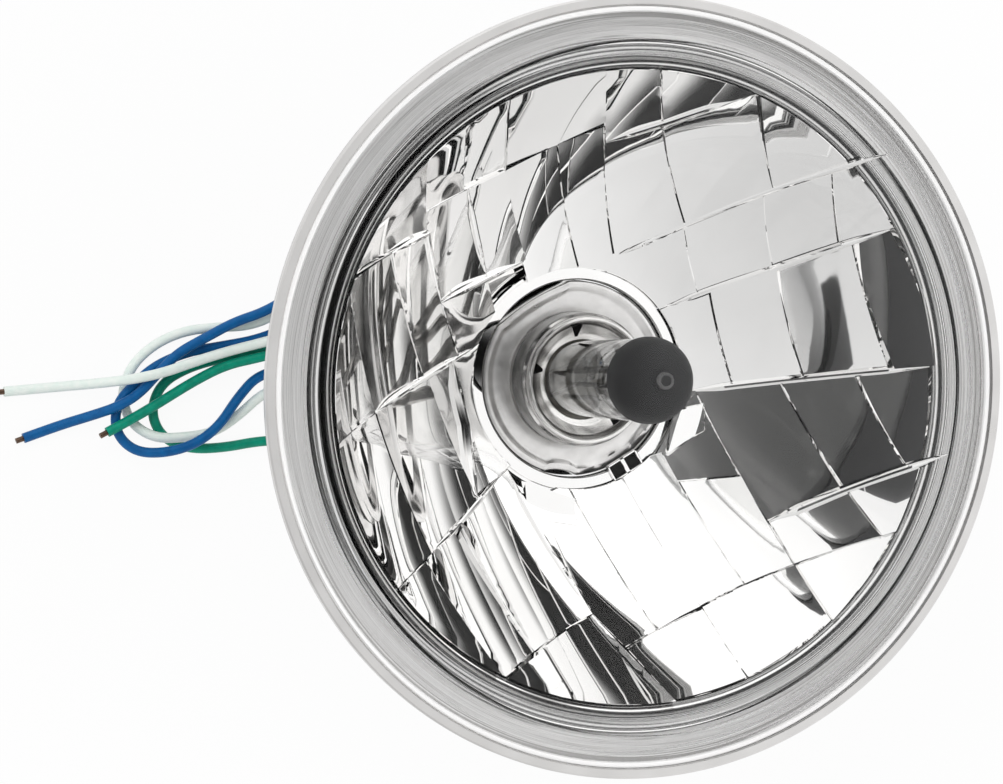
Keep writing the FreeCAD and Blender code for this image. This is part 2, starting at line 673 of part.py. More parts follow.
def make_rear_cover():
    cover = rounded_block(COVER_W, COVER_D, (0, COVER_H), PLUG_CORNER)
    cover = cover.makeFillet(0.8, [e for e in cover.Edges if e.BoundBox.ZMax < 1e-6])
    inner = rounded_block(COVER_W - 2 * COVER_WALL, COVER_D - 2 * COVER_WALL,
                          (COVER_FLOOR, COVER_H), PLUG_CORNER - 2)
    cover = cover.cut(inner)
    for route in ROUTES.values():
        start = Vec(route[0][0], COVER_D / 2 - COVER_WALL - 1, WIRE_EXIT_Z)
        cover = cover.cut(Part.makeCylinder(GROMMET_R, COVER_WALL + 2, start, Vec(0, 1, 0)))
    return cover


def make_grommets():
    """A soft bush round each wire, where it leaves the cover."""
    grommets = []
    outer = COVER_D / 2
    along = Vec(0, 1, 0)
    for route in ROUTES.values():
        x = route[0][0]
        body = Part.makeCylinder(GROMMET_R, COVER_WALL, Vec(x, outer - COVER_WALL, WIRE_EXIT_Z),
                                 along)
        lip = Part.makeCone(GROMMET_LIP_R, GROMMET_LIP_R - 0.5, GROMMET_LIP,
                            Vec(x, outer, WIRE_EXIT_Z), along)
        bore = Part.makeCylinder(WIRE_R + WIRE_EXIT_GAP, COVER_WALL + GROMMET_LIP + 2,
                                 Vec(x, outer - COVER_WALL - 1, WIRE_EXIT_Z), along)
        grommets.append(body.fuse(lip).removeSplitter().cut(bore))
    return Part.makeCompound(grommets)


def route_path(name):
    """The wire's centre line, with each arc as large as its two runs allow."""
    points = [Vec(*p) for p in ROUTES[name]]
    radii = []
    for before, here, after in zip(points, points[1:], points[2:]):
        turn = (here - before).getAngle(after - here)
        shorter = min((here - before).Length, (after - here).Length)
        radii.append(0.45 * shorter / math.tan(turn / 2))
    print("wire_" + name, "radii", " ".join("%.1f" % r for r in radii))
    return rounded_path(points, radii)


def make_wire(name):
    path = route_path(name)
    shape = tube(path, WIRE_R)
    expected = math.pi * WIRE_R ** 2 * path.Length
    print("wire_" + name, "length %.1f" % path.Length, "volume ratio %.4f"
          % (shape.Volume / expected))
    return shape


def make_core(name):
    """The bare copper that stands out of the wire's cut end."""
    last, end = [Vec(*p) for p in ROUTES[name][-2:]]
    return Part.makeCylinder(CORE_R, CORE_LEN, end, end - last)


save("reflector", make_reflector())
save("lens", make_lens())
save("lens_seal", make_lens_seal())
save("bulb_holder", make_bulb_holder())
save("holder_screws", make_holder_screws())
save("holder_rivets", make_rivets())
save("clip_bracket", make_clip_bracket())
save("latch_hooks", make_latch_hooks())
save("bulb_clip", make_bulb_clip())
save("bulb_flange", make_bulb_flange())
save("bulb_cup", make_bulb_cup())
save("bulb_glass", make_bulb_glass())
save("bulb_black_cap", make_black_cap())
save("low_beam_filament", make_filament(LOW_BEAM_Z, 0.0, 0.0))
save("high_beam_filament", make_filament(HIGH_BEAM_Z, 2.9, -1.0))
save("low_beam_shield", make_low_beam_shield())
save("filament_posts", make_filament_posts())
save("glass_pinch", make_glass_pinch())
save("bulb_base", make_bulb_base())
save("base_cement", make_base_cement())
save("base_insulator", make_base_insulator())
for blade in BLADES:
    save("terminal_" + blade, make_blade(blade))
save("plug_housing", make_plug_housing())
save("plug_rear_cover", make_rear_cover())
save("plug_sockets", make_sockets())
save("wire_grommets", make_grommets())
for colour in ROUTES:
    save("wire_" + colour, make_wire(colour))
    save("core_" + colour, make_core(colour))
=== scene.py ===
import math

import bmesh
import bpy
import numpy as np
from mathutils import Matrix, Vector


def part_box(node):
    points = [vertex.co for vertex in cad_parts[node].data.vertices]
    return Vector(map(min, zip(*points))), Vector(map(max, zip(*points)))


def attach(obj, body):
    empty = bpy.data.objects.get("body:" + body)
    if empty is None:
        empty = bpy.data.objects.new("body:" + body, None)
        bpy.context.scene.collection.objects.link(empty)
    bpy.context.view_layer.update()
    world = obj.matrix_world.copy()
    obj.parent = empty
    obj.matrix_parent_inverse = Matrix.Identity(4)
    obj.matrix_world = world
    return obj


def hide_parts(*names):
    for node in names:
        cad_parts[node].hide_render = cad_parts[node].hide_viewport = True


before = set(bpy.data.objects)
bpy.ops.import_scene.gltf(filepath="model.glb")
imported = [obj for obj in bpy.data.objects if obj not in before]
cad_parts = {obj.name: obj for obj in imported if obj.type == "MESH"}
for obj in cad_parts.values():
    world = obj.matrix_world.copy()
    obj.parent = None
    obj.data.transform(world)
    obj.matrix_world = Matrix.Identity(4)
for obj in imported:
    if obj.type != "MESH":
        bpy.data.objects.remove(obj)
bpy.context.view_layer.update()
MM = 0.001

# Sizes and heights, in metres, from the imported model.
REFLECTOR_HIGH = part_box("reflector")[1]
RIM_R = REFLECTOR_HIGH.x
RIM_Z = REFLECTOR_HIGH.z
LENS_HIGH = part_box("lens")[1]
LENS_R = LENS_HIGH.x
SEAL_LOW, SEAL_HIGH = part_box("lens_seal")
HOLDER_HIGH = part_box("bulb_holder")[1]
FLANGE_LOW, FLANGE_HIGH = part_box("bulb_flange")
CUP_LOW, CUP_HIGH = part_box("bulb_cup")

# Sizes that the boxes don't give.
SHELL = 1.8 * MM            # reflector wall
WALL = 2.0 * MM             # each wall of the channel that the lens stands in
MOUTH_R = 59.2 * MM         # outer edge of the mirror
FOCAL = 23.0 * MM           # focal length of the parabola
COLLAR_R = 22.7 * MM        # the raised collar round the bulb's hole
HOLE_R = 19.1 * MM
COLLAR_Z = HOLDER_HIGH.z + SHELL
VERTEX_Z = COLLAR_Z - COLLAR_R ** 2 / (4 * FOCAL)
CHANNEL_Z = SEAL_LOW.z
BACK_Z = CHANNEL_Z - SHELL
RIM_STRAIGHT = 1.5 * MM     # height of the rim's straight edge
RIM_TAPER = 0.34            # how much the rim narrows behind it
STEP_R = 64.7 * MM          # the lens's raised middle
STEP_H = 4.4 * MM


def mirror_z(x, y):
    """The height of the plain parabola."""
    return VERTEX_Z + (x * x + y * y) / (4 * FOCAL)


# ---------------- camera

CAMERA_FROM_RIM = Vector((-0.2911, 0.1421, 0.8401))
CAMERA_LOOK = Vector((0.2968, -0.1505, -0.9430))
IMAGE_UP = Vector((0.2922, 0.9544, 0.0))
CAMERA_LENS = 173.8


def make_camera():
    data = bpy.data.cameras.new("camera")
    data.lens = CAMERA_LENS
    data.sensor_width = 36.0
    data.clip_end = 20.0
    camera = bpy.data.objects.new("camera", data)
    bpy.context.scene.collection.objects.link(camera)
    back = -CAMERA_LOOK.normalized()
    right = IMAGE_UP.cross(back).normalized()
    up = back.cross(right)
    turn = Matrix((right, up, back)).transposed().to_4x4()
    place = Vector((0, 0, RIM_Z)) + CAMERA_FROM_RIM
    camera.matrix_world = Matrix.Translation(place) @ turn
    bpy.context.scene.camera = camera


make_camera()

# ---------------- wires

WIRE_D = 2.0 * MM
# Each wire's way from the plug to its free end, in millimetres.
ROUTES = {
    "white": [
        (0, 9, 5), (0, 18.5, 5), (-4, 27, 2.5), (-13, 32.5, 1), (-23, 32.4, 1),
        (-31, 28.2, 1), (-38, 23.7, 1), (-45, 22.9, 1), (-52, 24.8, 1), (-58.5, 26.2, 1),
        (-65.2, 25.6, 1), (-71.2, 22.8, 1), (-74.8, 17.6, 1), (-74.6, 12, 1.8), (-71.2, 8, 3.4),
        (-66, 6.4, 3.5), (-59.5, 5.2, 3.2), (-53, 6.5, 1), (-46.5, 9.4, 1), (-39.5, 9.6, 1),
        (-33.4, 7.4, 3.4), (-27.4, 5.8, 3.4), (-21.6, 6.8, 2.4), (-18, 11, 2.4),
        (-18.4, 16.6, 3.6), (-22.8, 20.4, 5.4), (-29, 20.8, 5.8), (-36, 19.2, 5.4),
        (-44, 19.3, 3.9), (-51.5, 19.9, 3.9), (-59, 20.2, 5), (-66.2, 20.2, 6.2),
        (-72.5, 20.9, 6.2), (-79, 22, 3.6), (-87, 23.7, 1), (-97, 26, 1)],
    "blue": [
        (-4, 9, 5), (-4, 17.5, 5), (-7.5, 25, 2.5), (-15.5, 29, 1), (-24, 28.2, 1),
        (-32, 24, 1), (-38.5, 20.2, 1), (-45, 19.9, 1), (-52, 20.9, 1), (-59, 22, 1),
        (-66, 21.5, 1), (-72, 19.6, 3.4), (-76.8, 16.8, 3.4), (-78.4, 11.4, 2.8),
        (-76, 6.7, 3.8), (-70.5, 4.8, 5.7), (-64, 4.6, 5.8), (-58.3, 6.6, 5.7),
        (-52.5, 10.2, 2.6), (-46.5, 13.2, 1), (-39.6, 12.2, 1.8), (-33, 11, 3.6),
        (-27, 13.7, 3.4), (-25, 19.8, 3.4), (-28.8, 25, 3.4), (-35.4, 26.6, 3.4),
        (-42, 25, 3.4), (-48.8, 25, 3.4), (-55.5, 23.8, 3.4), (-61.8, 22.7, 3.5),
        (-67, 20.1, 3.9), (-72, 17.6, 5), (-77, 16.6, 5.7), (-82, 16.3, 3.4),
        (-88.5, 16.2, 1), (-96, 16, 1)],
    "green": [
        (-8, 9, 5), (-8, 16.5, 5), (-11, 22.5, 3), (-17.5, 25.5, 1), (-25, 24, 1),
        (-31.6, 20.4, 1), (-38, 17.2, 1), (-45, 17.3, 1), (-52.4, 18.6, 1), (-60, 19, 1),
        (-66.4, 17.6, 1), (-70, 12.8, 1), (-69.2, 7.2, 1), (-64.6, 3.4, 1), (-57.8, 1.4, 1),
        (-50.5, 0.4, 1), (-44, -1.5, 1), (-37.4, -2, 1), (-31.6, 1.6, 1), (-29.6, 7.6, 1),
        (-32.6, 13.2, 1), (-38.6, 16.2, 2.8), (-45.6, 16.6, 3.4), (-53, 17.4, 3.4),
        (-60.5, 16.3, 3.6), (-68, 14.7, 4.5), (-75, 13.3, 5.1), (-80.5, 12.4, 5.2)],
}


def make_wire(name):
    curve = bpy.data.curves.new("cord_" + name, "CURVE")
    curve.dimensions = "3D"
    curve.resolution_u = 12
    curve.bevel_depth = 1.0
    curve.bevel_resolution = 8
    curve.use_fill_caps = True
    route = ROUTES[name]
    spline = curve.splines.new("NURBS")
    spline.points.add(len(route) - 1)
    for point, place in zip(spline.points, route):
        point.co = [c * MM for c in place] + [1.0]
        point.radius = WIRE_D / 2
    spline.order_u = 3
    spline.use_endpoint_u = True
    wire = bpy.data.objects.new("cord_" + name, curve)
    bpy.context.scene.collection.objects.link(wire)
    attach(wire, "plug")
    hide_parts("wire_" + name)
    return wire


wires = {name: make_wire(name) for name in ROUTES}

# ---------------- materials


def new_material(name):
    material = bpy.data.materials.new(name)
    material.use_nodes = True
    nodes = material.node_tree.nodes
    nodes.clear()
    output = nodes.new("ShaderNodeOutputMaterial")
    return material, nodes, material.node_tree.links, output


def maths(nodes, links, operation, a, b):
    """A Math node on two values, each a number or another node's output."""
    node = nodes.new("ShaderNodeMath")
    node.operation = operation
    for socket, value in zip(node.inputs, (a, b)):
        if isinstance(value, (int, float)):
            socket.default_value = value
        else:
            links.new(value, socket)
    return node.outputs[0]


def noise(nodes, links, scale, detail, stretch=None):
    """A 0 to 1 noise in the object's own space."""
    coords = nodes.new("ShaderNodeTexCoord")
    texture = nodes.new("ShaderNodeTexNoise")
    texture.inputs["Scale"].default_value = scale
    texture.inputs["Detail"].default_value = detail
    if stretch:
        mapping = nodes.new("ShaderNodeMapping")
        mapping.inputs["Scale"].default_value = stretch
        links.new(coords.outputs["Object"], mapping.inputs["Vector"])
        links.new(mapping.outputs["Vector"], texture.inputs["Vector"])
    else:
        links.new(coords.outputs["Object"], texture.inputs["Vector"])
    return texture.outputs["Fac"]


def spread(nodes, links, value, low, high):
    """Maps a 0 to 1 value onto low to high."""
    node = nodes.new("ShaderNodeMapRange")
    node.inputs["To Min"].default_value = low
    node.inputs["To Max"].default_value = high
    links.new(value, node.inputs["Value"])
    return node.outputs["Result"]


def tint(nodes, links, value, dark, light, start=0.3, end=0.7):
    """A colour from dark to light, as a 0 to 1 value goes from start to end."""
    ramp = nodes.new("ShaderNodeValToRGB")
    ramp.color_ramp.elements[0].position = start
    ramp.color_ramp.elements[0].color = (*dark, 1)
    ramp.color_ramp.elements[1].position = end
    ramp.color_ramp.elements[1].color = (*light, 1)
    links.new(value, ramp.inputs["Fac"])
    return ramp.outputs["Color"]


def bump(nodes, links, shader, height, distance):
    node = nodes.new("ShaderNodeBump")
    node.inputs["Strength"].default_value = 1.0
    node.inputs["Distance"].default_value = distance
    links.new(height, node.inputs["Height"])
    links.new(node.outputs["Normal"], shader.inputs["Normal"])


def surface(name, dark, light, metallic, rough, scale, bump_mm=0.0, gloss=0.5, detail=4.0,
            stretch=None):
    """A principled surface whose colour and roughness vary with a fine noise."""
    material, nodes, links, output = new_material(name)
    shader = nodes.new("ShaderNodeBsdfPrincipled")
    shader.inputs["Metallic"].default_value = metallic
    shader.inputs["Specular IOR Level"].default_value = gloss
    grain = noise(nodes, links, scale, detail, stretch)
    links.new(tint(nodes, links, grain, dark, light), shader.inputs["Base Color"])
    links.new(spread(nodes, links, grain, *rough), shader.inputs["Roughness"])
    if bump_mm:
        bump(nodes, links, shader, grain, bump_mm * MM)
    links.new(shader.outputs["BSDF"], output.inputs["Surface"])
    return material


RING_WANDER = 1.2           # how far the fine rings stray from true circles
WANDER_SCALE = 14.0


def ringed(name, dark, light, metallic, rough, per_mm, start=0.36, end=0.52):
    """A principled surface with uneven fine rings round the lamp's axis."""
    material, nodes, links, output = new_material(name)
    shader = nodes.new("ShaderNodeBsdfPrincipled")
    shader.inputs["Metallic"].default_value = metallic
    coords = nodes.new("ShaderNodeTexCoord")
    flat = nodes.new("ShaderNodeVectorMath")
    flat.operation = "MULTIPLY"
    flat.inputs[1].default_value = (1, 1, 0)
    links.new(coords.outputs["Object"], flat.inputs[0])
    radius = nodes.new("ShaderNodeVectorMath")
    radius.operation = "LENGTH"
    links.new(flat.outputs["Vector"], radius.inputs[0])
    count = maths(nodes, links, "MULTIPLY", radius.outputs["Value"], per_mm / MM)
    wander = maths(nodes, links, "MULTIPLY", noise(nodes, links, WANDER_SCALE, 1.0),
                   RING_WANDER)
    rings = nodes.new("ShaderNodeTexNoise")
    rings.noise_dimensions = "1D"
    rings.inputs["Scale"].default_value = 1.0
    rings.inputs["Detail"].default_value = 3.0
    links.new(maths(nodes, links, "ADD", count, wander), rings.inputs["W"])
    grain = rings.outputs["Fac"]
    links.new(tint(nodes, links, grain, dark, light, start, end), shader.inputs["Base Color"])
    links.new(spread(nodes, links, grain, *rough), shader.inputs["Roughness"])
    links.new(shader.outputs["BSDF"], output.inputs["Surface"])
    return material


def glass(name, colour, ior, gloss=0.5):
    """Clear glass that lets lamp light through to what is behind it."""
    material, nodes, links, output = new_material(name)
    shader = nodes.new("ShaderNodeBsdfPrincipled")
    shader.inputs["Base Color"].default_value = (*colour, 1)
    shader.inputs["Transmission Weight"].default_value = 1.0
    shader.inputs["Roughness"].default_value = 0.0
    shader.inputs["IOR"].default_value = ior
    shader.inputs["Specular IOR Level"].default_value = gloss
    clear = nodes.new("ShaderNodeBsdfTransparent")
    clear.inputs["Color"].default_value = (0.92, 0.92, 0.92, 1)
    path = nodes.new("ShaderNodeLightPath")
    mix = nodes.new("ShaderNodeMixShader")
    links.new(path.outputs["Is Shadow Ray"], mix.inputs["Fac"])
    links.new(shader.outputs["BSDF"], mix.inputs[1])
    links.new(clear.outputs["BSDF"], mix.inputs[2])
    links.new(mix.outputs["Shader"], output.inputs["Surface"])
    return material


MIRROR = surface("mirror", (0.93, 0.925, 0.92), (0.97, 0.965, 0.96), 1.0, (0.008, 0.02), 60.0)
RIM_METAL = ringed("rim_metal", (0.50, 0.495, 0.49), (0.98, 0.975, 0.97), 1.0, (0.05, 0.12),
                   1.6)
# Metal for the mouth's sloping ring, whose rings run down to near black: the dark rings are
# painted shade.
MOUTH_METAL_PAINTED_SHADE = ringed("mouth_metal_painted_shade", (0.04, 0.04, 0.04), (0.90, 0.895, 0.89), 1.0, (0.03, 0.10),
                     2.0, start=0.42, end=0.64)
EDGE_METAL = surface("edge_metal", (0.66, 0.65, 0.64), (0.74, 0.73, 0.72), 1.0, (0.26, 0.31),
                     120.0, detail=2.0)
BACK_METAL = surface("back_metal", (0.46, 0.46, 0.45), (0.53, 0.53, 0.52), 0.8, (0.42, 0.55),
                     320.0, bump_mm=0.02)
LENS_GLASS = glass("lens_clear", (0.99, 0.99, 0.988), 1.2)
BULB_GLASS = glass("bulb_clear", (0.98, 0.98, 0.975), 1.47, gloss=0.9)
BULB_METAL = surface("bulb_satin", (0.76, 0.75, 0.74), (0.90, 0.89, 0.88), 1.0, (0.24, 0.36),
                     420.0, bump_mm=0.008)
CUP_METAL = surface("cup_bright", (0.82, 0.81, 0.80), (0.96, 0.95, 0.94), 1.0, (0.10, 0.22),
                    240.0)
# A darker copy of the cup's bright metal for its outer side: painted shade.
CUP_SIDE_PAINTED_SHADE = surface("cup_side_painted_shade", (0.22, 0.22, 0.215), (0.42, 0.415, 0.41), 1.0, (0.16, 0.26), 300.0)
# Near-black painted shade, put in the bulb hole's wall, the gap under the disc, the tab's windows
# and the cup's slots, where there is only shade.
PAINTED_SHADE = surface("painted_shade", (0.006, 0.006, 0.006), (0.012, 0.012, 0.012), 0.0,
                   (0.7, 0.9), 300.0, gloss=0.0)
CAP_BLACK = surface("cap_black", (0.022, 0.022, 0.023), (0.030, 0.030, 0.031), 0.0,
                    (0.50, 0.60), 60.0, gloss=0.2, detail=1.0)
# A lighter grey for the ring round the cap's tip: a painted sheen on the dome's top.
CAP_PAINTED_SHEEN = surface("cap_painted_sheen", (0.05, 0.05, 0.05), (0.10, 0.10, 0.10), 0.0, (0.4, 0.5), 300.0,
                   detail=1.0)
FILAMENT = surface("filament", (0.55, 0.54, 0.53), (0.80, 0.79, 0.78), 1.0, (0.12, 0.25), 500.0)
ZINC = surface("zinc", (0.48, 0.48, 0.46), (0.66, 0.66, 0.63), 1.0, (0.28, 0.48), 180.0,
               bump_mm=0.02)
SPRING = surface("spring_wire", (0.38, 0.38, 0.38), (0.55, 0.55, 0.54), 1.0, (0.22, 0.38),
                 300.0, stretch=(1, 8, 8))
BRASS = surface("tinned_brass", (0.50, 0.40, 0.22), (0.68, 0.56, 0.32), 1.0, (0.25, 0.42), 260.0)
COPPER = surface("cut_copper", (0.09, 0.06, 0.045), (0.22, 0.14, 0.10), 1.0, (0.35, 0.55),
                 1500.0, bump_mm=0.05)
PLUG = surface("plug_nylon", (0.016, 0.016, 0.017), (0.030, 0.030, 0.031), 0.0, (0.42, 0.60),
               500.0, bump_mm=0.05)
INSULATOR = surface("insulator", (0.02, 0.02, 0.02), (0.045, 0.044, 0.042), 0.0, (0.5, 0.7),
                    500.0, bump_mm=0.03)
CEMENT = surface("cement", (0.55, 0.53, 0.47), (0.74, 0.72, 0.66), 0.0, (0.8, 0.95), 600.0,
                 bump_mm=0.1)
# Pale sealant with light and dark rings round the axis: the rings are painted reflection lines.
SEALANT_PAINTED_REFLECTION = ringed("sealant", (0.54, 0.53, 0.525), (0.99, 0.985, 0.98), 0.0, (0.35, 0.6), 1.3)
GROMMET = surface("grommet", (0.03, 0.03, 0.03), (0.05, 0.05, 0.05), 0.0, (0.6, 0.8), 800.0)
WIRE_SKINS = {
    "blue": surface("skin_blue", (0.0, 0.085, 0.27), (0.0, 0.115, 0.34), 0.0, (0.34, 0.46),
                    700.0, bump_mm=0.03, gloss=0.25),
    "white": surface("skin_white", (0.76, 0.86, 0.81), (0.86, 0.91, 0.87), 0.0, (0.30, 0.42),
                     700.0, bump_mm=0.03, gloss=0.35),
    "green": surface("skin_green", (0.0, 0.23, 0.145), (0.0, 0.31, 0.195), 0.0, (0.34, 0.46),
                     700.0, bump_mm=0.03, gloss=0.25),
}


def finish_with(obj, material):
    obj.data.materials.clear()
    obj.data.materials.append(material)


CAD_FINISHES = {
    "bulb_holder": ZINC, "holder_screws": ZINC, "holder_rivets": ZINC, "clip_bracket": ZINC,
    "latch_hooks": ZINC, "bulb_clip": SPRING, "glass_pinch": BULB_GLASS,
    "bulb_base": BULB_METAL, "base_cement": CEMENT, "base_insulator": INSULATOR,
    "terminal_ground": BRASS, "terminal_low_beam": BRASS, "terminal_high_beam": BRASS,
    "plug_housing": PLUG, "plug_rear_cover": PLUG, "plug_sockets": BRASS,
    "wire_grommets": GROMMET, "core_blue": COPPER, "core_white": COPPER, "core_green": COPPER,
    "filament_posts": FILAMENT, "low_beam_shield": FILAMENT,
}
for node, material in CAD_FINISHES.items():
    finish_with(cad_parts[node], material)
for colour, wire in wires.items():
    finish_with(wire, WIRE_SKINS[colour])

# ---------------- shaping tools

SECOND, THIRD = 1, 2        # the indices of a piece's further materials


def piece(name, bm, material, body, slot, *nodes, crease=32.0):
    """Turns a bmesh into a named piece that rides on a body and stands for CAD nodes. Edges
    that turn by more than crease degrees are shaded sharp."""
    mesh = bpy.data.meshes.new(name)
    bm.normal_update()
    bm.to_mesh(mesh)
    bm.free()
    for face in mesh.polygons:
        face.use_smooth = True
    mesh.set_sharp_from_angle(angle=math.radians(crease))
    obj = bpy.data.objects.new(name, mesh)
    bpy.context.scene.collection.objects.link(obj)
    mesh.materials.append(material)
    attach(obj, body)
    if nodes:
        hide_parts(*nodes)
    return obj


def lathe(bm, outline, segments=192):
    """Adds the closed skin that a closed outline of (radius, z) points sweeps round the axis.
    Outline points on the axis become single vertices."""
    rings = []
    for r, z in outline:
        if r < 1e-7:
            rings.append([bm.verts.new((0, 0, z))])
        else:
            rings.append([bm.verts.new((r * math.cos(a), r * math.sin(a), z))
                          for a in np.linspace(0, 2 * math.pi, segments, endpoint=False)])
    made = []
    for ring, following in zip(rings, rings[1:] + rings[:1]):
        if len(ring) == 1 and len(following) == 1:
            continue
        for i in range(segments):
            j = (i + 1) % segments
            corners = [ring[i % len(ring)], ring[j % len(ring)],
                       following[j % len(following)], following[i % len(following)]]
            unique = list(dict.fromkeys(corners))
            made.append(bm.faces.new(unique))
    bmesh.ops.recalc_face_normals(bm, faces=made)
    return made


def rounded(outline, radius):
    """Rounds every corner of a closed outline with a small curve."""
    out = []
    for i, spot in enumerate(outline):
        corner = Vector(spot)
        a = Vector(outline[i - 1]) - corner
        b = Vector(outline[(i + 1) % len(outline)]) - corner
        cut = min(radius, 0.4 * a.length, 0.4 * b.length)
        p = corner + a.normalized() * cut
        q = corner + b.normalized() * cut
        for t in np.linspace(0, 1, 4):
            s = p * (1 - t) ** 2 + corner * 2 * t * (1 - t) + q * t ** 2
            out.append((s.x, s.y))
    return out


# ---------------- reflector

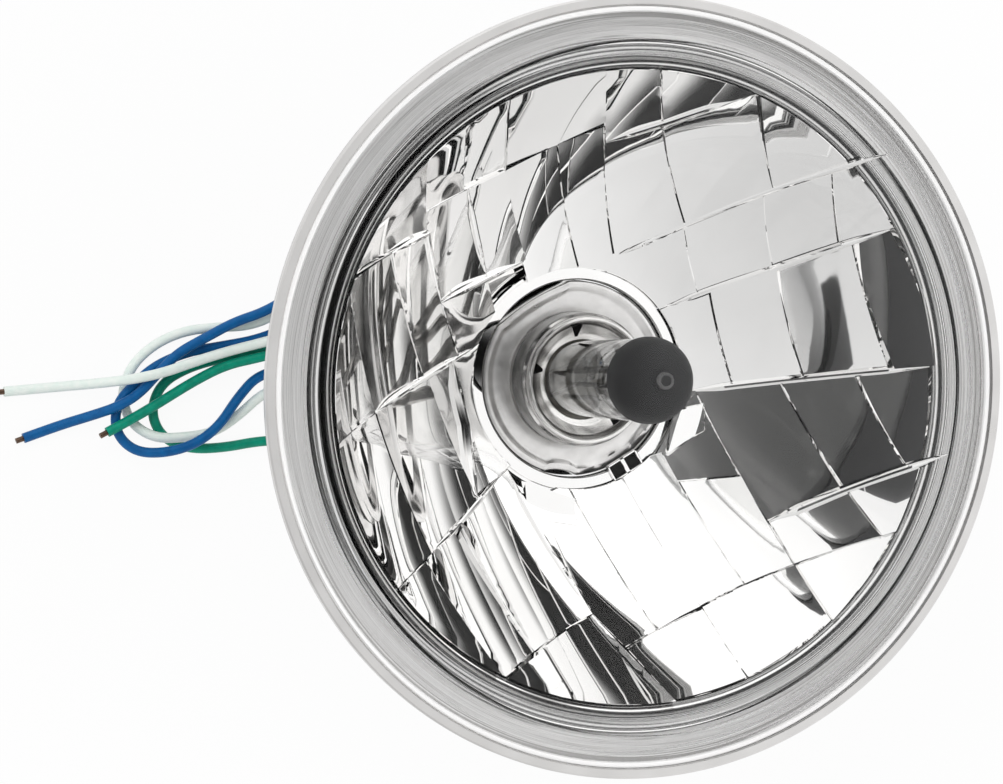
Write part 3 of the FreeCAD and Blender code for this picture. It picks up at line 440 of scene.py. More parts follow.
# The mirror's facets, seen from the front, in millimetres from the axis. Each has its corners,
# how far it stands forward, its lean along x and y, and its bulge along x and y, all from the
# plain parabola.
FACETS = [
    # right, three rows
    ([(9, 20.5), (26.3, 23), (27, 8.6), (14, 7)], 0.3, (0.02, 0.02), (0.004, 0.0)),
    ([(26.3, 23), (39.7, 25.4), (39.7, 10), (27, 8.6)], 0.5, (0.01, 0.02), (0.004, 0.0)),
    ([(39.7, 25.4), (50, 26.7), (50, 11.7), (39.7, 10)], 0.2, (0.0, 0.02), (0.004, 0.0)),
    ([(50, 26.7), (62, 28), (62, 13.5), (50, 11.7)], 0.5, (0.03, 0.02), (0.004, 0.0)),
    ([(14, 7), (28.7, 8.7), (28.5, -10.4), (14, -8.6)], 0.9, (0.0, 0.07), (0.0, 0.0)),
    ([(28.7, 8.7), (40, 10), (39.6, -12), (28.5, -10.4)], 1.2, (0.0, 0.07), (0.0, 0.0)),
    ([(40, 10), (52, 12), (52, -13.6), (39.6, -12)], 0.8, (-0.05, -0.02), (0.0, -0.003)),
    ([(52, 12), (62, 13.5), (62, -15), (52, -13.6)], 1.0, (0.0, -0.14), (0.0, -0.003)),
    ([(11, -19), (22, -9.6), (23.5, -27), (12.7, -25)], 0.2, (0.02, 0.05), (0.0, -0.003)),
    ([(22, -9.6), (36, -11.5), (38, -33.4), (24, -36)], 0.2, (-0.03, 0.04), (0.0, -0.003)),
    ([(36, -11.5), (47, -13), (48, -31.6), (38, -33.4)], 0.5, (-0.04, 0.0), (0.0, -0.003)),
    ([(47, -13), (62, -15), (62, -29), (48, -31.6)], 0.2, (0.01, -0.05), (0.0, -0.003)),
    # flat places beside the collar
    ([(17.5, -12), (22.8, -12.2), (21, -17.3), (12.4, -19.5)],
     1.5, (-0.40, 0.33), (-0.0109, -0.0109)),
    ([(-17, -15), (-18.5, -22), (-9.5, -26.5), (-8, -21.5)],
     1.2, (0.29, 0.46), (-0.0109, -0.0109)),
    # bottom
    ([(-18, -19), (-8, -19), (-5.5, -47.4), (-13, -48), (-15.7, -41)],
     0.5, (0.0, 0.0), (0.004, 0.0)),
    ([(-8, -19), (3, -19), (4.8, -46.3), (-5.5, -47.4)], 0.8, (0.01, 0.0), (0.004, 0.0)),
    ([(3, -19), (12.2, -19), (14.3, -45), (4.8, -46.3)], 0.5, (-0.01, 0.0), (0.004, 0.0)),
    ([(12.7, -25), (23.5, -27), (24, -43.9), (14.3, -45)], 0.8, (0.0, 0.0), (0.004, 0.0)),
    ([(24, -36), (38, -33.4), (39, -42.4), (24, -43.9)], 0.8, (0.0, 0.0), (0.004, 0.0)),
    ([(38, -33.4), (48, -31.6), (62, -29), (62, -40), (39, -42.4)],
     0.8, (0.0, 0.0), (0.004, 0.0)),
    ([(-13, -48), (-5.5, -47.4), (4.8, -46.3), (5, -62), (-9, -62)],
     0.3, (0.02, 0.08), (0.004, 0.0)),
    ([(4.8, -46.3), (24, -43.9), (24, -62), (5, -62)], 0.3, (0.0, 0.05), (0.004, 0.0)),
    ([(24, -43.9), (39, -42.4), (62, -40), (62, -62), (24, -62)], 0.3, (0.0, 0.0), (0.004, 0.0)),
    # lower left
    ([(-34.5, -17), (-19, -12), (-15.7, -41), (-31.5, -42)], 0.6, (-0.03, 0.0), (0.012, 0.0)),
    ([(-46, -19.5), (-34.5, -17), (-31.5, -42), (-41, -43.2)], 0.2, (-0.02, 0.0), (0.012, 0.0)),
    ([(-62, -21.5), (-46, -19.5), (-41, -43.2), (-62, -46)], 0.6, (0.0, 0.0), (0.012, 0.0)),
    ([(-31.5, -42), (-15.7, -41), (-9, -62), (-31, -62)], 0.9, (-0.03, 0.0), (0.012, 0.0)),
    ([(-62, -46), (-31.5, -42), (-31, -62), (-62, -62)], 0.5, (0.0, 0.0), (0.012, 0.0)),
    # left
    ([(-31, 11), (-17, 12.5), (-17, -11.4), (-28, -14.9)], 0.2, (0.04, 0.0), (0.01, 0.0)),
    ([(-46.5, 9.5), (-31, 11), (-28, -14.9), (-34.5, -17), (-44, -19)],
     1.0, (0.0, 0.0), (0.006, 0.0)),
    ([(-62, 8), (-46.5, 9.5), (-44, -19), (-62, -21.5)], 0.5, (0.03, 0.0), (0.008, 0.0)),
    ([(-24.5, 23.5), (-13, 24.6), (-12, 14), (-19, 12), (-22.3, 11.8)],
     0.5, (0.03, 0.0), (0.01, 0.0)),
    ([(-36, 37.4), (-26.7, 38), (-24.5, 23.5), (-22.3, 11.8), (-32, 10.9)],
     0.9, (0.0, 0.0), (0.008, 0.0)),
    ([(-48.5, 35.8), (-36, 37.4), (-32, 10.9), (-46.5, 9.5)], 0.3, (0.0, 0.0), (0.014, 0.0)),
    ([(-62, 34), (-48.5, 35.8), (-46.5, 9.5), (-62, 8)], 0.7, (0.0, 0.0), (0.014, 0.0)),
    ([(-62, 34), (-36, 37.4), (-26.8, 38), (-27.5, 62), (-62, 62)],
     0.2, (0.0, 0.03), (0.004, 0.0)),
    # top, inner row
    ([(-27, 42.5), (-16.7, 43.7), (-13.2, 24.6), (-24.5, 23.5), (-26.7, 38)],
     0.3, (0.0, 0.0), (0.01, 0.0)),
    ([(-16.7, 43.7), (-8, 44.6), (-4.3, 25.5), (-13.2, 24.6)], 0.9, (0.0, 0.0), (0.01, 0.0)),
    ([(-8, 44.6), (3, 46.3), (6.2, 19), (-4.3, 19)], 0.5, (0.0, -0.05), (0.008, 0.0)),
    ([(3, 46.3), (12.3, 47), (13, 19.5), (6.2, 19)], 0.7, (0.0, -0.08), (0.002, 0.0)),
    ([(12.3, 43.6), (23, 44.2), (26.3, 23), (13, 21)], 0.7, (0.0, -0.1), (0.002, 0.0)),
    ([(23, 44.2), (38.5, 45.2), (41, 25.6), (26.3, 23)], 0.6, (0.0, -0.1), (0.003, 0.0)),
    ([(38.5, 45.2), (62, 46.5), (62, 28), (41, 25.6)], 0.8, (0.0, 0.0), (0.003, 0.0)),
    # top, outer row
    ([(-27.5, 62), (-27, 42.5), (-17.5, 43.6), (-18.5, 62)], 0.8, (0.0, 0.04), (0.004, 0.0)),
    ([(-18.5, 62), (-17.5, 43.6), (-8, 44.6), (-9, 62)], 0.4, (0.0, 0.04), (0.004, 0.0)),
    ([(-9, 62), (-8, 44.6), (3, 46.3), (12.3, 47), (10.5, 62)], 0.8, (0.0, 0.02), (0.003, 0.0)),
    ([(10.5, 62), (12.3, 43.6), (22.7, 44.2), (20.5, 62)], 0.4, (0.0, -0.05), (0.004, 0.0)),
    ([(20.5, 62), (22.7, 44.2), (38.5, 45.2), (36, 62)], 0.7, (0.0, -0.04), (0.004, 0.0)),
    ([(36, 62), (38.5, 45.2), (62, 46.5), (62, 62)], 0.3, (0.0, 0.04), (0.004, 0.0)),
]
# Beads that stand along the seams between facets, in millimetres from the axis.
RIDGES = [
    [(14.5, 20.6), (26.3, 23), (41, 25.6), (58, 27.6)],
    [(20.8, 7.6), (28.7, 8.7), (40, 10), (57, 12.7)],
    [(20.8, -9.3), (28.5, -10.4), (39.6, -12), (57, -14.4)],
    [(24, -36), (38, -33.4), (48, -31.6), (54, -30.5)],
    [(12.3, 43.8), (23, 44.2), (36, 45.1)],
    [(-44, -18.8), (-34.5, -17), (-21.5, -12.8)],
    [(-46.5, 9.5), (-31, 11), (-19.5, 12.2)],
    [(-28, -14.9), (-24.5, -1), (-24, 11)],
    [(-19, -13), (-17.5, -27), (-15.7, -41)],
    [(-36, 37.4), (-26.7, 38), (-24.5, 23.5)],
    [(-13.2, 24.6), (-16.7, 43.7)],
    [(-24.5, 23.5), (-13.2, 24.6), (-4.3, 25.5)],
]
RIDGE_W = 1.5 * MM
RIDGE_H = 1.2 * MM
RIDGE_STEP = 1.5            # millimetres from one cross-section of a bead to the next
# Half of a bead's section, as shares of its half width and of its height.
RIDGE_HALF = [(0.25, 1.0), (0.62, 0.8), (1.0, 0.0)]
FACET_LIFT = 0.9 * MM       # a facet's base stands this far in front of the plain parabola
RIDGE_FOOT = 0.6 * MM       # the beads' edges and the seams stand this far above that
FACET_EDGE = 0.14 * MM      # width of the sloping wall round a facet
BOWL_DROP = 1.0 * MM        # the shell's bowl lies this far behind the plain parabola
MIRROR_INNER_R = COLLAR_R - 1.2 * MM
MIRROR_OUTER_R = MOUTH_R - 0.3 * MM


def ring_sheet(inner, outer, rows, columns):
    """A flat ring of faces round the axis, as a bmesh."""
    bm = bmesh.new()
    rings = []
    for r in np.linspace(inner, outer, rows + 1):
        rings.append([bm.verts.new((r * math.cos(a), r * math.sin(a), 0))
                      for a in np.linspace(0, 2 * math.pi, columns, endpoint=False)])
    for low, high in zip(rings, rings[1:]):
        for i in range(columns):
            j = (i + 1) % columns
            bm.faces.new((low[i], high[i], high[j], low[j]))
    return bm


def facet_height(x, y, centre, forward, lean, bulge):
    """The height of a facet's face, whose lean and bulge are measured from its centre."""
    u, v = (x - centre.x) / MM, (y - centre.y) / MM
    tilt = lean[0] * u + lean[1] * v
    swell = bulge[0] * u * u + bulge[1] * v * v
    return mirror_z(x, y) + FACET_LIFT + (forward + tilt + swell) * MM


def add_facet(bm, sheet, corners, forward, lean, bulge):
    """Cuts one facet out of the flat sheet, raises it to its shape and walls it round."""
    part = sheet.copy()
    up = Vector((0, 0, 1))
    points = [Vector((x, y, 0)) * MM for x, y in corners]
    centre = sum(points, Vector()) / len(points)
    for a, b in zip(points, points[1:] + points[:1]):
        along = (b - a).normalized()
        inward = Vector((-along.y, along.x, 0))
        if inward.dot(centre - a) < 0:
            inward = -inward
        geometry = part.verts[:] + part.edges[:] + part.faces[:]
        bmesh.ops.bisect_plane(part, geom=geometry, plane_co=a + inward * FACET_EDGE,
                               plane_no=-inward, clear_outer=True)
    rim = [e for e in part.edges if e.is_boundary]
    made = bmesh.ops.extrude_edge_only(part, edges=rim)["geom"]
    outer = [v for v in made if isinstance(v, bmesh.types.BMVert)]
    outwards = {}
    for edge in rim:
        ends = edge.verts[0].co, edge.verts[1].co
        side = (ends[1] - ends[0]).cross(up).normalized()
        # The facet's own face, because the new wall beside it has no area yet.
        face = max(edge.link_faces, key=lambda f: f.calc_area())
        if side.dot(face.calc_center_median() - ends[0]) > 0:
            side = -side
        for end in ends:
            key = end.copy().freeze()
            outwards[key] = outwards.get(key, Vector()) + side
    for v in part.verts:
        v.co.z = facet_height(v.co.x, v.co.y, centre, forward, lean, bulge)
    for v in outer:
        key = Vector((v.co.x, v.co.y, 0)).freeze()
        push = outwards.get(key, Vector())
        if push.length > 1e-9:
            v.co += push.normalized() * FACET_EDGE
        v.co.z = mirror_z(v.co.x, v.co.y) + FACET_LIFT + RIDGE_FOOT
    mesh = bpy.data.meshes.new("facet")
    part.to_mesh(mesh)
    part.free()
    bm.from_mesh(mesh)
    bpy.data.meshes.remove(mesh)


def add_ridge(bm, line):
    """A narrow raised bead along a polyline of (x, y) points on the mirror."""
    across = [(-offset, rise) for offset, rise in RIDGE_HALF[::-1]] + RIDGE_HALF
    points = []
    for a, b in zip(line, line[1:]):
        count = max(2, int(math.dist(a, b) / RIDGE_STEP))
        points += [Vector(a).lerp(Vector(b), t) * MM
                   for t in np.linspace(0, 1, count, endpoint=False)]
    points.append(Vector(line[-1]) * MM)
    rows = []
    for i, point in enumerate(points):
        along = points[min(i + 1, len(points) - 1)] - points[max(i - 1, 0)]
        side = Vector((-along.y, along.x)).normalized() * RIDGE_W / 2
        taper = min(1.0, 0.15 + 0.25 * min(i, len(points) - 1 - i))
        row = []
        for offset, rise in across:
            spot = point + side * offset * taper
            z = mirror_z(spot.x, spot.y) + FACET_LIFT + RIDGE_FOOT + RIDGE_H * rise * taper
            row.append(bm.verts.new((spot.x, spot.y, z)))
        rows.append(row)
    for low, high in zip(rows, rows[1:]):
        for i in range(len(across) - 1):
            bm.faces.new((low[i], high[i], high[i + 1], low[i + 1]))


def make_mirror():
    """The facets and the beads between them."""
    sheet = ring_sheet(MIRROR_INNER_R, MIRROR_OUTER_R, 26, 240)
    bm = bmesh.new()
    for corners, forward, lean, bulge in FACETS:
        add_facet(bm, sheet, corners, forward, lean, bulge)
    sheet.free()
    bmesh.ops.remove_doubles(bm, verts=bm.verts, dist=1e-8)
    for line in RIDGES:
        add_ridge(bm, line)
    return piece("mirror_facets", bm, MIRROR, "lamp", "reflector_chrome", crease=6.0)


def back_point(r):
    """The point of the bowl's outside behind the mirror's point at radius r."""
    slope = math.atan2(r, 2 * FOCAL)
    return (r + SHELL * math.sin(slope), mirror_z(r, 0) - SHELL * math.cos(slope))


def edge_radius(z):
    """The radius of the rim's outer wall at the height z."""
    return RIM_R - RIM_TAPER * max(RIM_Z - RIM_STRAIGHT - z, 0)


MOUTH_Z = RIM_Z - 1.2 * MM  # top of the channel's inner wall, beside the mirror's mouth
CONE_H = 2.0 * MM           # the sloping ring that leads down from it to the mirror
RIM_BEVEL = 0.3 * MM


def shell_finish(face):
    """The material of one face of the shell."""
    r = math.hypot(face.center.x, face.center.y)
    z = face.center.z
    if r > edge_radius(z) - 0.97 * WALL:
        return EDGE_METAL
    # The mouth's sloping ring, with its dark rings of painted shade.
    if MOUTH_R < r < MOUTH_R + WALL and z > MOUTH_Z - CONE_H - 0.2 * MM:
        return MOUTH_METAL_PAINTED_SHADE
    if r > MOUTH_R and z > CHANNEL_Z - RIM_BEVEL:
        return RIM_METAL
    # The bulb hole's wall gets painted shade.
    if r < HOLE_R + 0.1 * MM:
        return PAINTED_SHADE
    if z < mirror_z(r, 0) - BOWL_DROP - 0.3 * MM and face.normal.z < 0.3:
        return BACK_METAL
    return MIRROR


def make_reflector_body():
    """The shell behind the facets: collar, bowl and the channel at the rim."""
    bevel = RIM_BEVEL
    bowl = [(r, mirror_z(r, 0) - BOWL_DROP)
            for r in np.linspace(COLLAR_R - 1.5 * MM, MOUTH_R, 40)]
    back = [back_point(r) for r in np.linspace(MOUTH_R - 4.2 * MM, COLLAR_R, 40)]
    inner_r, outer_r = MOUTH_R + WALL, RIM_R - WALL
    bend_z = RIM_Z - RIM_STRAIGHT
    cone = []
    for share in np.linspace(0, 1, 13):
        wave = 0.08 * MM * math.sin(share * 2 * math.pi * 3)
        cone.append((MOUTH_R + share * (WALL - bevel), MOUTH_Z - CONE_H * (1 - share) + wave))
    rim = [(inner_r, MOUTH_Z - bevel), (inner_r, CHANNEL_Z),
           (edge_radius(CHANNEL_Z) - WALL, CHANNEL_Z), (outer_r, bend_z),
           (outer_r, RIM_Z - bevel), (outer_r + bevel, RIM_Z), (RIM_R - bevel, RIM_Z),
           (RIM_R, RIM_Z - bevel), (RIM_R, bend_z), (edge_radius(BACK_Z + bevel), BACK_Z + bevel),
           (edge_radius(BACK_Z) - bevel, BACK_Z), (back[0][0] + 1 * MM, BACK_Z)]
    neck = [(back[-1][0], HOLDER_HIGH.z), (HOLE_R, HOLDER_HIGH.z), (HOLE_R, COLLAR_Z - bevel),
            (HOLE_R + bevel, COLLAR_Z), (COLLAR_R - 1.1 * MM, COLLAR_Z),
            (COLLAR_R - 0.9 * MM, COLLAR_Z + bevel), (COLLAR_R - 0.4 * MM, COLLAR_Z + bevel),
            (COLLAR_R, COLLAR_Z), (COLLAR_R, COLLAR_Z - 1.0 * MM)]
    bm = bmesh.new()
    lathe(bm, bowl + cone + rim + back + neck, 256)
    body = piece("reflector_body", bm, MIRROR, "lamp", "reflector_chrome", "reflector")
    finishes = [MIRROR, BACK_METAL, RIM_METAL, EDGE_METAL, PAINTED_SHADE, MOUTH_METAL_PAINTED_SHADE]
    for material in finishes[1:]:
        body.data.materials.append(material)
    for face in body.data.polygons:
        face.material_index = finishes.index(shell_finish(face))
    return body


make_mirror()
make_reflector_body()

# ---------------- lens

LENS_T = 2.6 * MM
STEP_Z = RIM_Z + STEP_H         # where the raised middle's side ends and its dome starts
DOME_RISE = LENS_HIGH.z - STEP_Z
LENS_EDGE = LENS_R - 0.9 * MM   # where the sealant round the lens starts
LENS_UNDER = RIM_Z - 3.4 * MM   # underside of the lens's flat edge
SKIRT_INNER_R = 64.0 * MM       # the skirt that hangs from it into the sealant
SKIRT_OUTER_R = 68.5 * MM
LENS_RINGS = 6                  # shallow rings on the flat edge


def make_lens():
    """The clear lens: a domed middle, its side, the ringed flat edge and the skirt below."""
    dome_r = STEP_R - 1.2 * MM
    inner_r = STEP_R - LENS_T - 0.8 * MM
    outline = []
    for t in np.linspace(0, 1, 40):
        outline.append((dome_r * t, STEP_Z + DOME_RISE * (1 - t * t)))
    outline += [(STEP_R - 0.35 * MM, STEP_Z - 0.35 * MM), (STEP_R, STEP_Z - 1.2 * MM),
                (STEP_R + 0.3 * MM, RIM_Z + 0.6 * MM), (STEP_R + 0.7 * MM, RIM_Z + 0.25 * MM)]
    start, end = STEP_R + 1.0 * MM, LENS_EDGE - 0.6 * MM
    for r in np.linspace(start, end, 8 * LENS_RINGS + 1):
        share = (r - start) / (end - start)
        wave = math.cos(share * 2 * math.pi * LENS_RINGS)
        outline.append((r, RIM_Z + (0.15 - 0.75 * share + 0.07 * wave) * MM))
    outline += [(LENS_EDGE - 0.2 * MM, RIM_Z - 0.8 * MM), (LENS_EDGE, RIM_Z - 1.1 * MM),
                (LENS_EDGE, LENS_UNDER), (SKIRT_OUTER_R, LENS_UNDER),
                (SKIRT_OUTER_R, SEAL_HIGH.z), (SKIRT_INNER_R, SEAL_HIGH.z),
                (SKIRT_INNER_R, LENS_UNDER), (STEP_R - LENS_T, LENS_UNDER),
                (STEP_R - LENS_T, STEP_Z - LENS_T - 0.8 * MM)]
    for t in np.linspace(1, 0, 40):
        outline.append((inner_r * t, STEP_Z - LENS_T + DOME_RISE * (1 - t * t)))
    bm = bmesh.new()
    lathe(bm, outline, 256)
    return piece("front_lens", bm, LENS_GLASS, "lamp", "lens_glass", "lens")


def make_seal():
    """The sealant that fills the channel round the lens's skirt and edge. Its step inside the
    skirt has the mouth's metal, dark rings of painted shade included."""
    gap = 0.06 * MM
    inner = MOUTH_R + WALL + gap
    floor_z = CHANNEL_Z + gap
    foot = SEAL_HIGH.z - gap
    top = LENS_UNDER - gap
    lip = RIM_R - WALL - gap
    outline = [(inner, floor_z), (edge_radius(CHANNEL_Z) - WALL - gap, floor_z),
               (edge_radius(LENS_UNDER) - WALL - gap, LENS_UNDER), (lip, RIM_Z - 1.5 * MM),
               (lip, RIM_Z - 0.5 * MM), (lip - 0.3 * MM, RIM_Z - 0.25 * MM),
               (LENS_EDGE + 0.3 * MM, RIM_Z - 0.3 * MM), (LENS_EDGE + gap, RIM_Z - 0.6 * MM),
               (LENS_EDGE + gap, top), (SKIRT_OUTER_R + gap, top), (SKIRT_OUTER_R + gap, foot),
               (SKIRT_INNER_R - gap, foot), (SKIRT_INNER_R - gap, top), (inner, top)]
    bm = bmesh.new()
    lathe(bm, outline, 256)
    bead = piece("seal_bead", bm, SEALANT_PAINTED_REFLECTION, "lamp", "sealant", "lens_seal")
    bead.data.materials.append(MOUTH_METAL_PAINTED_SHADE)
    # The step inside the skirt takes the mouth's metal with its painted shade.
    for face in bead.data.polygons:
        if math.hypot(face.center.x, face.center.y) < SKIRT_INNER_R and face.center.z > foot:
            face.material_index = SECOND
    return bead


make_lens()
make_seal()

# ---------------- bulb

BULB_LEAN = math.radians(2.5)
DISC_Z = FLANGE_HIGH.z
DISC_DIPS = [(103, 26, 1.3), (244, 10, 1.0)]    # middle and half width in degrees, depth in mm
FOLD_ANGLE = 281            # the side where the disc's edge is bent down, in degrees
FOLD_FROM = 16.4 * MM       # how far out the bend starts
FOLD_SLOPE = 0.5
FOLD_DEPTH = 0.7 * MM
GLASS_FOOT_Z = DISC_Z + 0.4 * MM
GLASS_FOOT_R = 7.2 * MM
GLASS_TOP_R = 7.8 * MM      # also the radius of the round top
GLASS_T = 0.9 * MM
DOME_Z = COLLAR_Z + 48.6 * MM - GLASS_TOP_R
CAP_BAND = 0.8 * MM         # the black cap reaches this far below the round top
TIP_R = 1.3 * MM
TIP_Z = DOME_Z + GLASS_TOP_R + 0.9 * MM     # top of the small tip on the glass
TAB_R = 19.7 * MM           # the tab's distance from the axis
TAB_ANGLE = 283
SLOT_ANGLES = (82, 150, 292)


def lean(bm):
    """Tilts a piece of the bulb as the CAD model has it."""
    bmesh.ops.rotate(bm, verts=bm.verts, cent=(0, 0, DISC_Z),
                     matrix=Matrix.Rotation(-BULB_LEAN, 3, "X"))


def disc_edge(angle):
    """The disc's radius at an angle in degrees: it dips at two places."""
    radius = HOLE_R - 0.2 * MM
    for middle, half, depth in DISC_DIPS:
        off = abs(angle - middle) / half
        if off < 1:
            radius -= depth * MM * math.cos(off * math.pi / 2) ** 0.6
    return radius


def make_flange():
    """The bulb's disc: a lip all round, a shallow groove inside it, a bent edge below and a floor
    of painted shade in the gap outside it."""
    foot = FLANGE_LOW.z
    # The lip's points are (inset from the edge in mm, z) and the face's (radius in mm, z).
    lip = [(1.0, foot), (0.0, foot), (0.0, DISC_Z - 0.5 * MM), (0.15, DISC_Z - 0.12 * MM),
           (0.55, DISC_Z), (1.3, DISC_Z - 0.04 * MM), (1.9, DISC_Z - 0.45 * MM),
           (2.5, DISC_Z - 0.5 * MM)]
    face = [(14.6, DISC_Z - 0.35 * MM), (13.6, DISC_Z - 0.55 * MM), (9.0, DISC_Z - 0.5 * MM),
            (9.0, DISC_Z - 1 * MM)]
    fold = math.radians(FOLD_ANGLE)
    across = Vector((math.cos(fold), math.sin(fold)))
    bm = bmesh.new()
    columns = []
    for angle in np.linspace(0, 360, 288, endpoint=False):
        a = math.radians(angle)
        out = Vector((math.cos(a), math.sin(a)))
        edge = disc_edge(angle)
        spots = [(edge - inset * MM, z) for inset, z in lip] + [(r * MM, z) for r, z in face]
        spots.append((edge - 1.0 * MM, DISC_Z - 1 * MM))
        column = []
        for r, z in spots:
            beyond = max(0.0, out.dot(across) * r - FOLD_FROM)
            drop = min(beyond * FOLD_SLOPE, FOLD_DEPTH) if z > DISC_Z - 0.9 * MM else 0.0
            column.append(bm.verts.new((out.x * r, out.y * r, max(z - drop, foot))))
        columns.append(column)
    made = []
    for column, following in zip(columns, columns[1:] + columns[:1]):
        for i in range(len(column)):
            j = (i + 1) % len(column)
            made.append(bm.faces.new((column[i], following[i], following[j], column[j])))
    bmesh.ops.recalc_face_normals(bm, faces=made)
    # A near-black ring of painted shade under the disc's edge, in the gap outside it.
    inner, outer = 15 * MM, HOLE_R - 0.12 * MM
    low, high = foot + 0.02 * MM, foot + 0.1 * MM
    for face in lathe(bm, [(inner, high), (outer, high), (outer, low), (inner, low)]):
        face.material_index = SECOND
    disc = piece("bulb_disc", bm, BULB_METAL, "lamp", "bulb_metal", "bulb_flange")
    disc.data.materials.append(PAINTED_SHADE)
    return disc


def add_block(bm, low, high):
    """A box between two corners."""
    made = bmesh.ops.create_cube(bm, size=1.0)["verts"]
    for v in made:
        v.co = Vector(a + (b - a) * (c + 0.5) for a, b, c in zip(low, high, v.co))
    return made


def make_hole_tab():
    """A small tab with two square windows backed with painted shade, on the collar below the
    disc's bent edge.
    """
    bm = bmesh.new()
    wide, deep, bar = 3.4 * MM, 1.75 * MM, 0.42 * MM
    low, high = COLLAR_Z - 0.2 * MM, COLLAR_Z + 0.75 * MM
    bars = [((-wide, wide), (-deep, -deep + bar)), ((-wide, wide), (deep - bar, deep)),
            ((-wide, -wide + bar), (-deep, deep)), ((wide - bar, wide), (-deep, deep)),
            ((-bar, bar), (-deep, deep))]
    for xs, ys in bars:
        add_block(bm, (xs[0], ys[0], low), (xs[1], ys[1], high))
    bmesh.ops.bevel(bm, geom=bm.edges[:], offset=0.08 * MM, segments=1, affect="EDGES")
    # The windows are backed with a near-black block of painted shade.
    backing = add_block(bm, (-wide, -deep, low), (wide, deep, COLLAR_Z + 0.1 * MM))
    for face in {f for v in backing for f in v.link_faces}:
        face.material_index = SECOND
    turn = math.radians(TAB_ANGLE)
    place = Vector((math.cos(turn), math.sin(turn), 0)) * TAB_R
    bmesh.ops.rotate(bm, verts=bm.verts, cent=(0, 0, 0),
                     matrix=Matrix.Rotation(turn + math.pi / 2, 3, "Z"))
    bmesh.ops.translate(bm, verts=bm.verts, vec=place)
    tab = piece("collar_tab", bm, MIRROR, "lamp", "reflector_chrome")
    tab.data.materials.append(PAINTED_SHADE)
    return tab


def make_cup():
    """The bright cup that holds the glass: a rolled rim, a sloping floor, three slots of painted
    shade and an outer side darkened with painted shade.
    """
    low, top = CUP_LOW.z, CUP_HIGH.z
    cup_r = CUP_HIGH.x
    seat = 7.65 * MM
    outline = [(cup_r - 0.6 * MM, low), (cup_r, low), (cup_r - 0.1 * MM, top - 2.6 * MM),
               (cup_r - 0.7 * MM, top - 1.6 * MM), (cup_r - 0.75 * MM, top - 0.5 * MM),
               (cup_r - 1.2 * MM, top), (cup_r - 1.7 * MM, top - 0.4 * MM),
               (cup_r - 2.3 * MM, top - 2.2 * MM), (seat + 1.2 * MM, top - 3.6 * MM),
               (seat, top - 4.0 * MM), (seat, top - 4.7 * MM), (seat + 1.3 * MM, top - 4.3 * MM),
               (cup_r - 2.8 * MM, top - 3.0 * MM), (cup_r - 0.8 * MM, top - 3.2 * MM)]
    bm = bmesh.new()
    lathe(bm, rounded(outline, 0.3 * MM), 160)
    for angle in SLOT_ANGLES:
        add_slot(bm, math.radians(angle), cup_r, top)
    cup = piece("bulb_sleeve", bm, CUP_METAL, "lamp", "bulb_metal", "bulb_cup")
    cup.data.materials.append(PAINTED_SHADE)
    cup.data.materials.append(CUP_SIDE_PAINTED_SHADE)
    # The cup's upright outer side takes the darker copy of its metal: painted shade.
    for face in cup.data.polygons:
        r = math.hypot(face.center.x, face.center.y)
        if r > cup_r - 0.35 * MM and abs(face.normal.z) < 0.3:
            face.material_index = THIRD
    return cup


def add_slot(bm, angle, cup_r, top):
    """A wedge-shaped slot in the cup's sloping inside, made as a flat face of painted shade."""
    out = Vector((math.cos(angle), math.sin(angle), 0))
    side = Vector((-out.y, out.x, 0))
    near, far = 8.4 * MM, cup_r - 2.45 * MM
    near_z, far_z = top - 3.63 * MM, top - 2.18 * MM
    verts = []
    for r, z, across in ((near, near_z, -0.25), (far, far_z, -1.1), (far, far_z, 1.1),
                         (near, near_z, 0.25)):
        verts.append(bm.verts.new(out * r + side * across * MM + Vector((0, 0, z))))
    bm.faces.new(verts).material_index = SECOND


def glass_side(z):
    """Outer radius of the glass tube, which widens a little from its foot to its round top."""
    share = (z - GLASS_FOOT_Z) / (DOME_Z - GLASS_FOOT_Z)
    return GLASS_FOOT_R + (GLASS_TOP_R - GLASS_FOOT_R) * share


def dome(radius, end_r):
    """The round top's outline, from its equator up to where it is end_r from the axis."""
    return [(radius * math.cos(a), DOME_Z + radius * math.sin(a))
            for a in np.linspace(0, math.acos(end_r / radius), 24)]


def make_glass():
    """The clear envelope, with its hollow inside and a small tip on top."""
    foot = GLASS_FOOT_Z
    tube = [(0, foot), (GLASS_FOOT_R - 1.2 * MM, foot), (GLASS_FOOT_R, foot + 1.2 * MM)]
    tube += [(glass_side(z), z) for z in np.linspace(foot + 3 * MM, DOME_Z - 2 * MM, 8)]
    tip = [(TIP_R, TIP_Z - 0.25 * MM), (TIP_R - 0.25 * MM, TIP_Z), (0, TIP_Z)]
    inner_r = GLASS_TOP_R - GLASS_T
    hollow = [(0, foot + GLASS_T), (GLASS_FOOT_R - GLASS_T - 0.6 * MM, foot + GLASS_T),
              (GLASS_FOOT_R - GLASS_T, foot + GLASS_T + 0.8 * MM)]
    bm = bmesh.new()
    lathe(bm, tube + dome(GLASS_TOP_R, TIP_R) + tip, 128)
    inner = lathe(bm, hollow + dome(inner_r, 0.3 * MM) + [(0, DOME_Z + inner_r)], 128)
    bmesh.ops.reverse_faces(bm, faces=inner)
    lean(bm)
    return piece("bulb_envelope", bm, BULB_GLASS, "lamp", "bulb_glass", "bulb_glass")


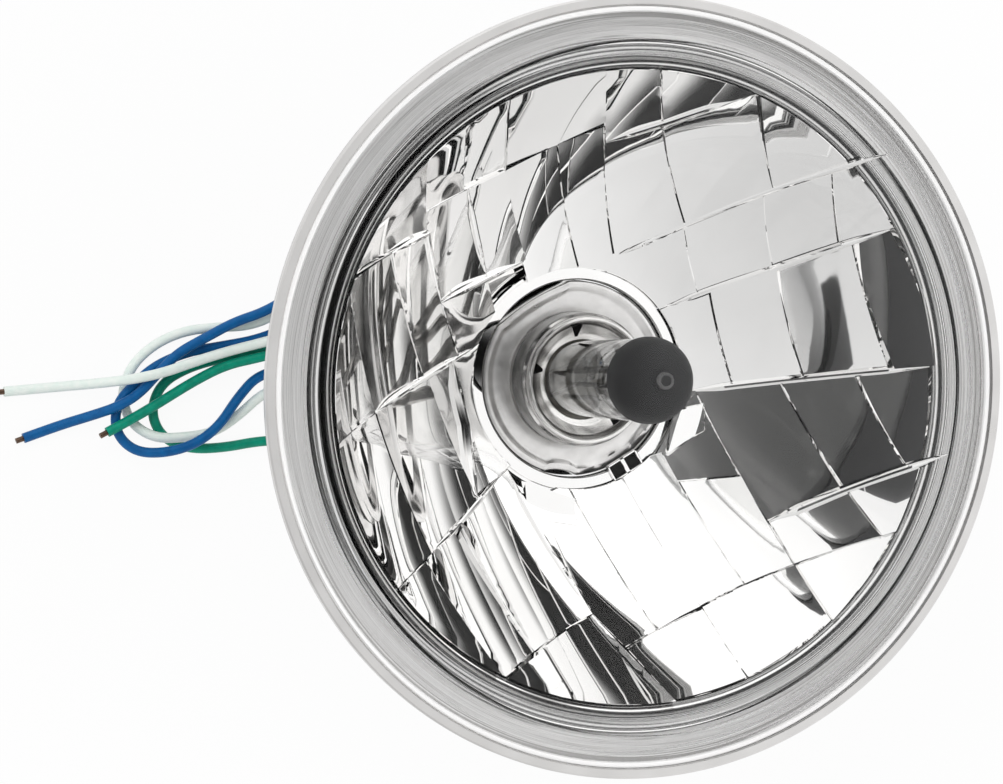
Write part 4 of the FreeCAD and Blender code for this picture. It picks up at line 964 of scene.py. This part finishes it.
def make_cap():
    """The black skin on the glass's round top, with a lighter ring of painted sheen round the
    tip.
    """
    gap = 0.03 * MM
    skin = 0.3 * MM
    low = DOME_Z - CAP_BAND
    outer = [(glass_side(low) + skin, low)] + dome(GLASS_TOP_R + skin, TIP_R + skin)
    tip = [(TIP_R + skin, TIP_Z), (TIP_R, TIP_Z + 0.8 * skin), (TIP_R - skin, TIP_Z + skin),
           (0, TIP_Z + skin), (0, TIP_Z + gap), (TIP_R + gap, TIP_Z + gap)]
    inner = dome(GLASS_TOP_R + gap, TIP_R + gap)[::-1] + [(glass_side(low) + gap, low)]
    bm = bmesh.new()
    crown = DOME_Z + GLASS_TOP_R + skin
    # Faces on the top round the tip take the lighter painted sheen.
    for face in lathe(bm, outer + tip + inner, 128):
        middle = face.calc_center_median()
        if middle.z > crown + 0.1 * MM and math.hypot(middle.x, middle.y) > TIP_R - skin:
            face.material_index = SECOND
    lean(bm)
    cap = piece("bulb_cap", bm, CAP_BLACK, "lamp", "cap_black", "bulb_black_cap")
    cap.data.materials.append(CAP_PAINTED_SHEEN)
    return cap


COIL_TURNS = 9
COIL_R = 0.5 * MM
COIL_WIRE_R = 0.13 * MM


def make_coil(name, node):
    """A filament as a fine helix inside its CAD cylinder."""
    low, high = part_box(node)
    middle = (low + high) / 2
    length = (high.z - low.z) * 0.92
    curve = bpy.data.curves.new(name, "CURVE")
    curve.dimensions = "3D"
    curve.bevel_depth = 1.0
    curve.bevel_resolution = 3
    spline = curve.splines.new("POLY")
    steps = COIL_TURNS * 14
    spline.points.add(steps)
    for i, point in enumerate(spline.points):
        a = 2 * math.pi * COIL_TURNS * i / steps
        point.radius = COIL_WIRE_R
        point.co = (middle.x + COIL_R * math.cos(a), middle.y + COIL_R * math.sin(a),
                    middle.z + length * (i / steps - 0.5), 1)
    coil = bpy.data.objects.new(name, curve)
    bpy.context.scene.collection.objects.link(coil)
    curve.materials.append(FILAMENT)
    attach(coil, "lamp")
    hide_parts(node)
    return coil


make_flange()
make_hole_tab()
make_cup()
make_glass()
make_cap()
make_coil("coil_low_beam", "low_beam_filament")
make_coil("coil_high_beam", "high_beam_filament")

# ---------------- stage and light

ROOM_LEVEL = 0.8            # light on the matt surfaces
WALL_LEVEL = 1.0            # what metal mirrors of the walls
WALL_SLOPE_Y = 0.18         # how much brighter they are towards the lamp's top
WALL_SLOPE_X = 0.28         # and towards its right
OPENING_AT = Vector((-0.12, 0.1, 0.98))     # the way to the middle of the dark opening
OPENING_INNER = 15.0        # its edge fades from here, in degrees from its middle
OPENING_OUTER = 25.0        # to here
OPENING_LEVEL = 0.02
FLOOR_GLOW = 0.93           # how much of the floor's white is its own


def make_floor():
    """A white floor that looks evenly white to the camera and in reflections."""
    mesh = bpy.data.meshes.new("floor")
    half = 3.0
    mesh.from_pydata([(-half, -half, 0), (half, -half, 0), (half, half, 0), (-half, half, 0)],
                     [], [(0, 1, 2, 3)])
    floor = bpy.data.objects.new("floor", mesh)
    bpy.context.scene.collection.objects.link(floor)
    material, nodes, links, output = new_material("floor_white")
    diffuse = nodes.new("ShaderNodeBsdfDiffuse")
    diffuse.inputs["Color"].default_value = (0.86, 0.86, 0.86, 1)
    glow = nodes.new("ShaderNodeEmission")
    glow.inputs["Color"].default_value = (1, 1, 1, 1)
    path = nodes.new("ShaderNodeLightPath")
    seen = maths(nodes, links, "MAXIMUM", path.outputs["Is Camera Ray"],
                 path.outputs["Is Transmission Ray"])
    seen = maths(nodes, links, "MAXIMUM", seen, path.outputs["Is Glossy Ray"])
    mix = nodes.new("ShaderNodeMixShader")
    links.new(maths(nodes, links, "MULTIPLY", seen, FLOOR_GLOW), mix.inputs["Fac"])
    links.new(diffuse.outputs["BSDF"], mix.inputs[1])
    links.new(glow.outputs["Emission"], mix.inputs[2])
    links.new(mix.outputs["Shader"], output.inputs["Surface"])
    mesh.materials.append(material)


def make_world():
    """White walls, brightest towards the lamp's top and right, with a dark opening in front of
    the lamp that shows only in reflections and through glass."""
    world = bpy.data.worlds.new("studio")
    world.use_nodes = True
    bpy.context.scene.world = world
    nodes, links = world.node_tree.nodes, world.node_tree.links
    nodes.clear()
    output = nodes.new("ShaderNodeOutputWorld")
    coords = nodes.new("ShaderNodeTexCoord")
    axes = nodes.new("ShaderNodeSeparateXYZ")
    links.new(coords.outputs["Generated"], axes.inputs["Vector"])
    toward_top = maths(nodes, links, "MULTIPLY", axes.outputs["Y"], WALL_SLOPE_Y)
    toward_right = maths(nodes, links, "MULTIPLY", axes.outputs["X"], WALL_SLOPE_X)
    slope = maths(nodes, links, "ADD", toward_top, toward_right)
    walls = maths(nodes, links, "ADD", slope, WALL_LEVEL)
    nearness = nodes.new("ShaderNodeVectorMath")
    nearness.operation = "DOT_PRODUCT"
    nearness.inputs[1].default_value = OPENING_AT.normalized()
    links.new(coords.outputs["Generated"], nearness.inputs[0])
    fade = nodes.new("ShaderNodeMapRange")
    fade.interpolation_type = "SMOOTHSTEP"
    fade.inputs["From Min"].default_value = math.cos(math.radians(OPENING_OUTER))
    fade.inputs["From Max"].default_value = math.cos(math.radians(OPENING_INNER))
    fade.inputs["To Min"].default_value = 1.0
    fade.inputs["To Max"].default_value = OPENING_LEVEL
    links.new(nearness.outputs["Value"], fade.inputs["Value"])
    mirrored = nodes.new("ShaderNodeBackground")
    links.new(maths(nodes, links, "MULTIPLY", walls, fade.outputs["Result"]),
              mirrored.inputs["Strength"])
    plain = nodes.new("ShaderNodeBackground")
    plain.inputs["Strength"].default_value = ROOM_LEVEL
    white = nodes.new("ShaderNodeBackground")
    for background in (mirrored, plain, white):
        background.inputs["Color"].default_value = (1, 1, 1, 1)
    path = nodes.new("ShaderNodeLightPath")
    shiny = maths(nodes, links, "MAXIMUM", path.outputs["Is Glossy Ray"],
                  path.outputs["Is Transmission Ray"])
    room = nodes.new("ShaderNodeMixShader")
    links.new(shiny, room.inputs["Fac"])
    links.new(plain.outputs["Background"], room.inputs[1])
    links.new(mirrored.outputs["Background"], room.inputs[2])
    mix = nodes.new("ShaderNodeMixShader")
    links.new(path.outputs["Is Camera Ray"], mix.inputs["Fac"])
    links.new(room.outputs["Shader"], mix.inputs[1])
    links.new(white.outputs["Background"], mix.inputs[2])
    links.new(mix.outputs["Shader"], output.inputs["Surface"])


def area_light(name, place, target, size, power):
    """A soft light that isn't seen in reflections."""
    data = bpy.data.lights.new(name, "AREA")
    data.shape = "RECTANGLE"
    data.size, data.size_y = size
    data.energy = power
    light = bpy.data.objects.new(name, data)
    light.location = place
    light.rotation_mode = "QUATERNION"
    light.rotation_quaternion = (Vector(target) - Vector(place)).to_track_quat("-Z", "Y")
    light.visible_glossy = False
    light.visible_transmission = False
    bpy.context.scene.collection.objects.link(light)


make_floor()
make_world()
CENTRE = (0, 0, RIM_Z)
area_light("key", (-0.5, 0.9, 1.2), CENTRE, (0.9, 0.9), 7.0)
area_light("fill", (0.9, -0.5, 0.9), CENTRE, (0.8, 0.8), 3.0)
bpy.context.scene.view_settings.view_transform = "Standard"
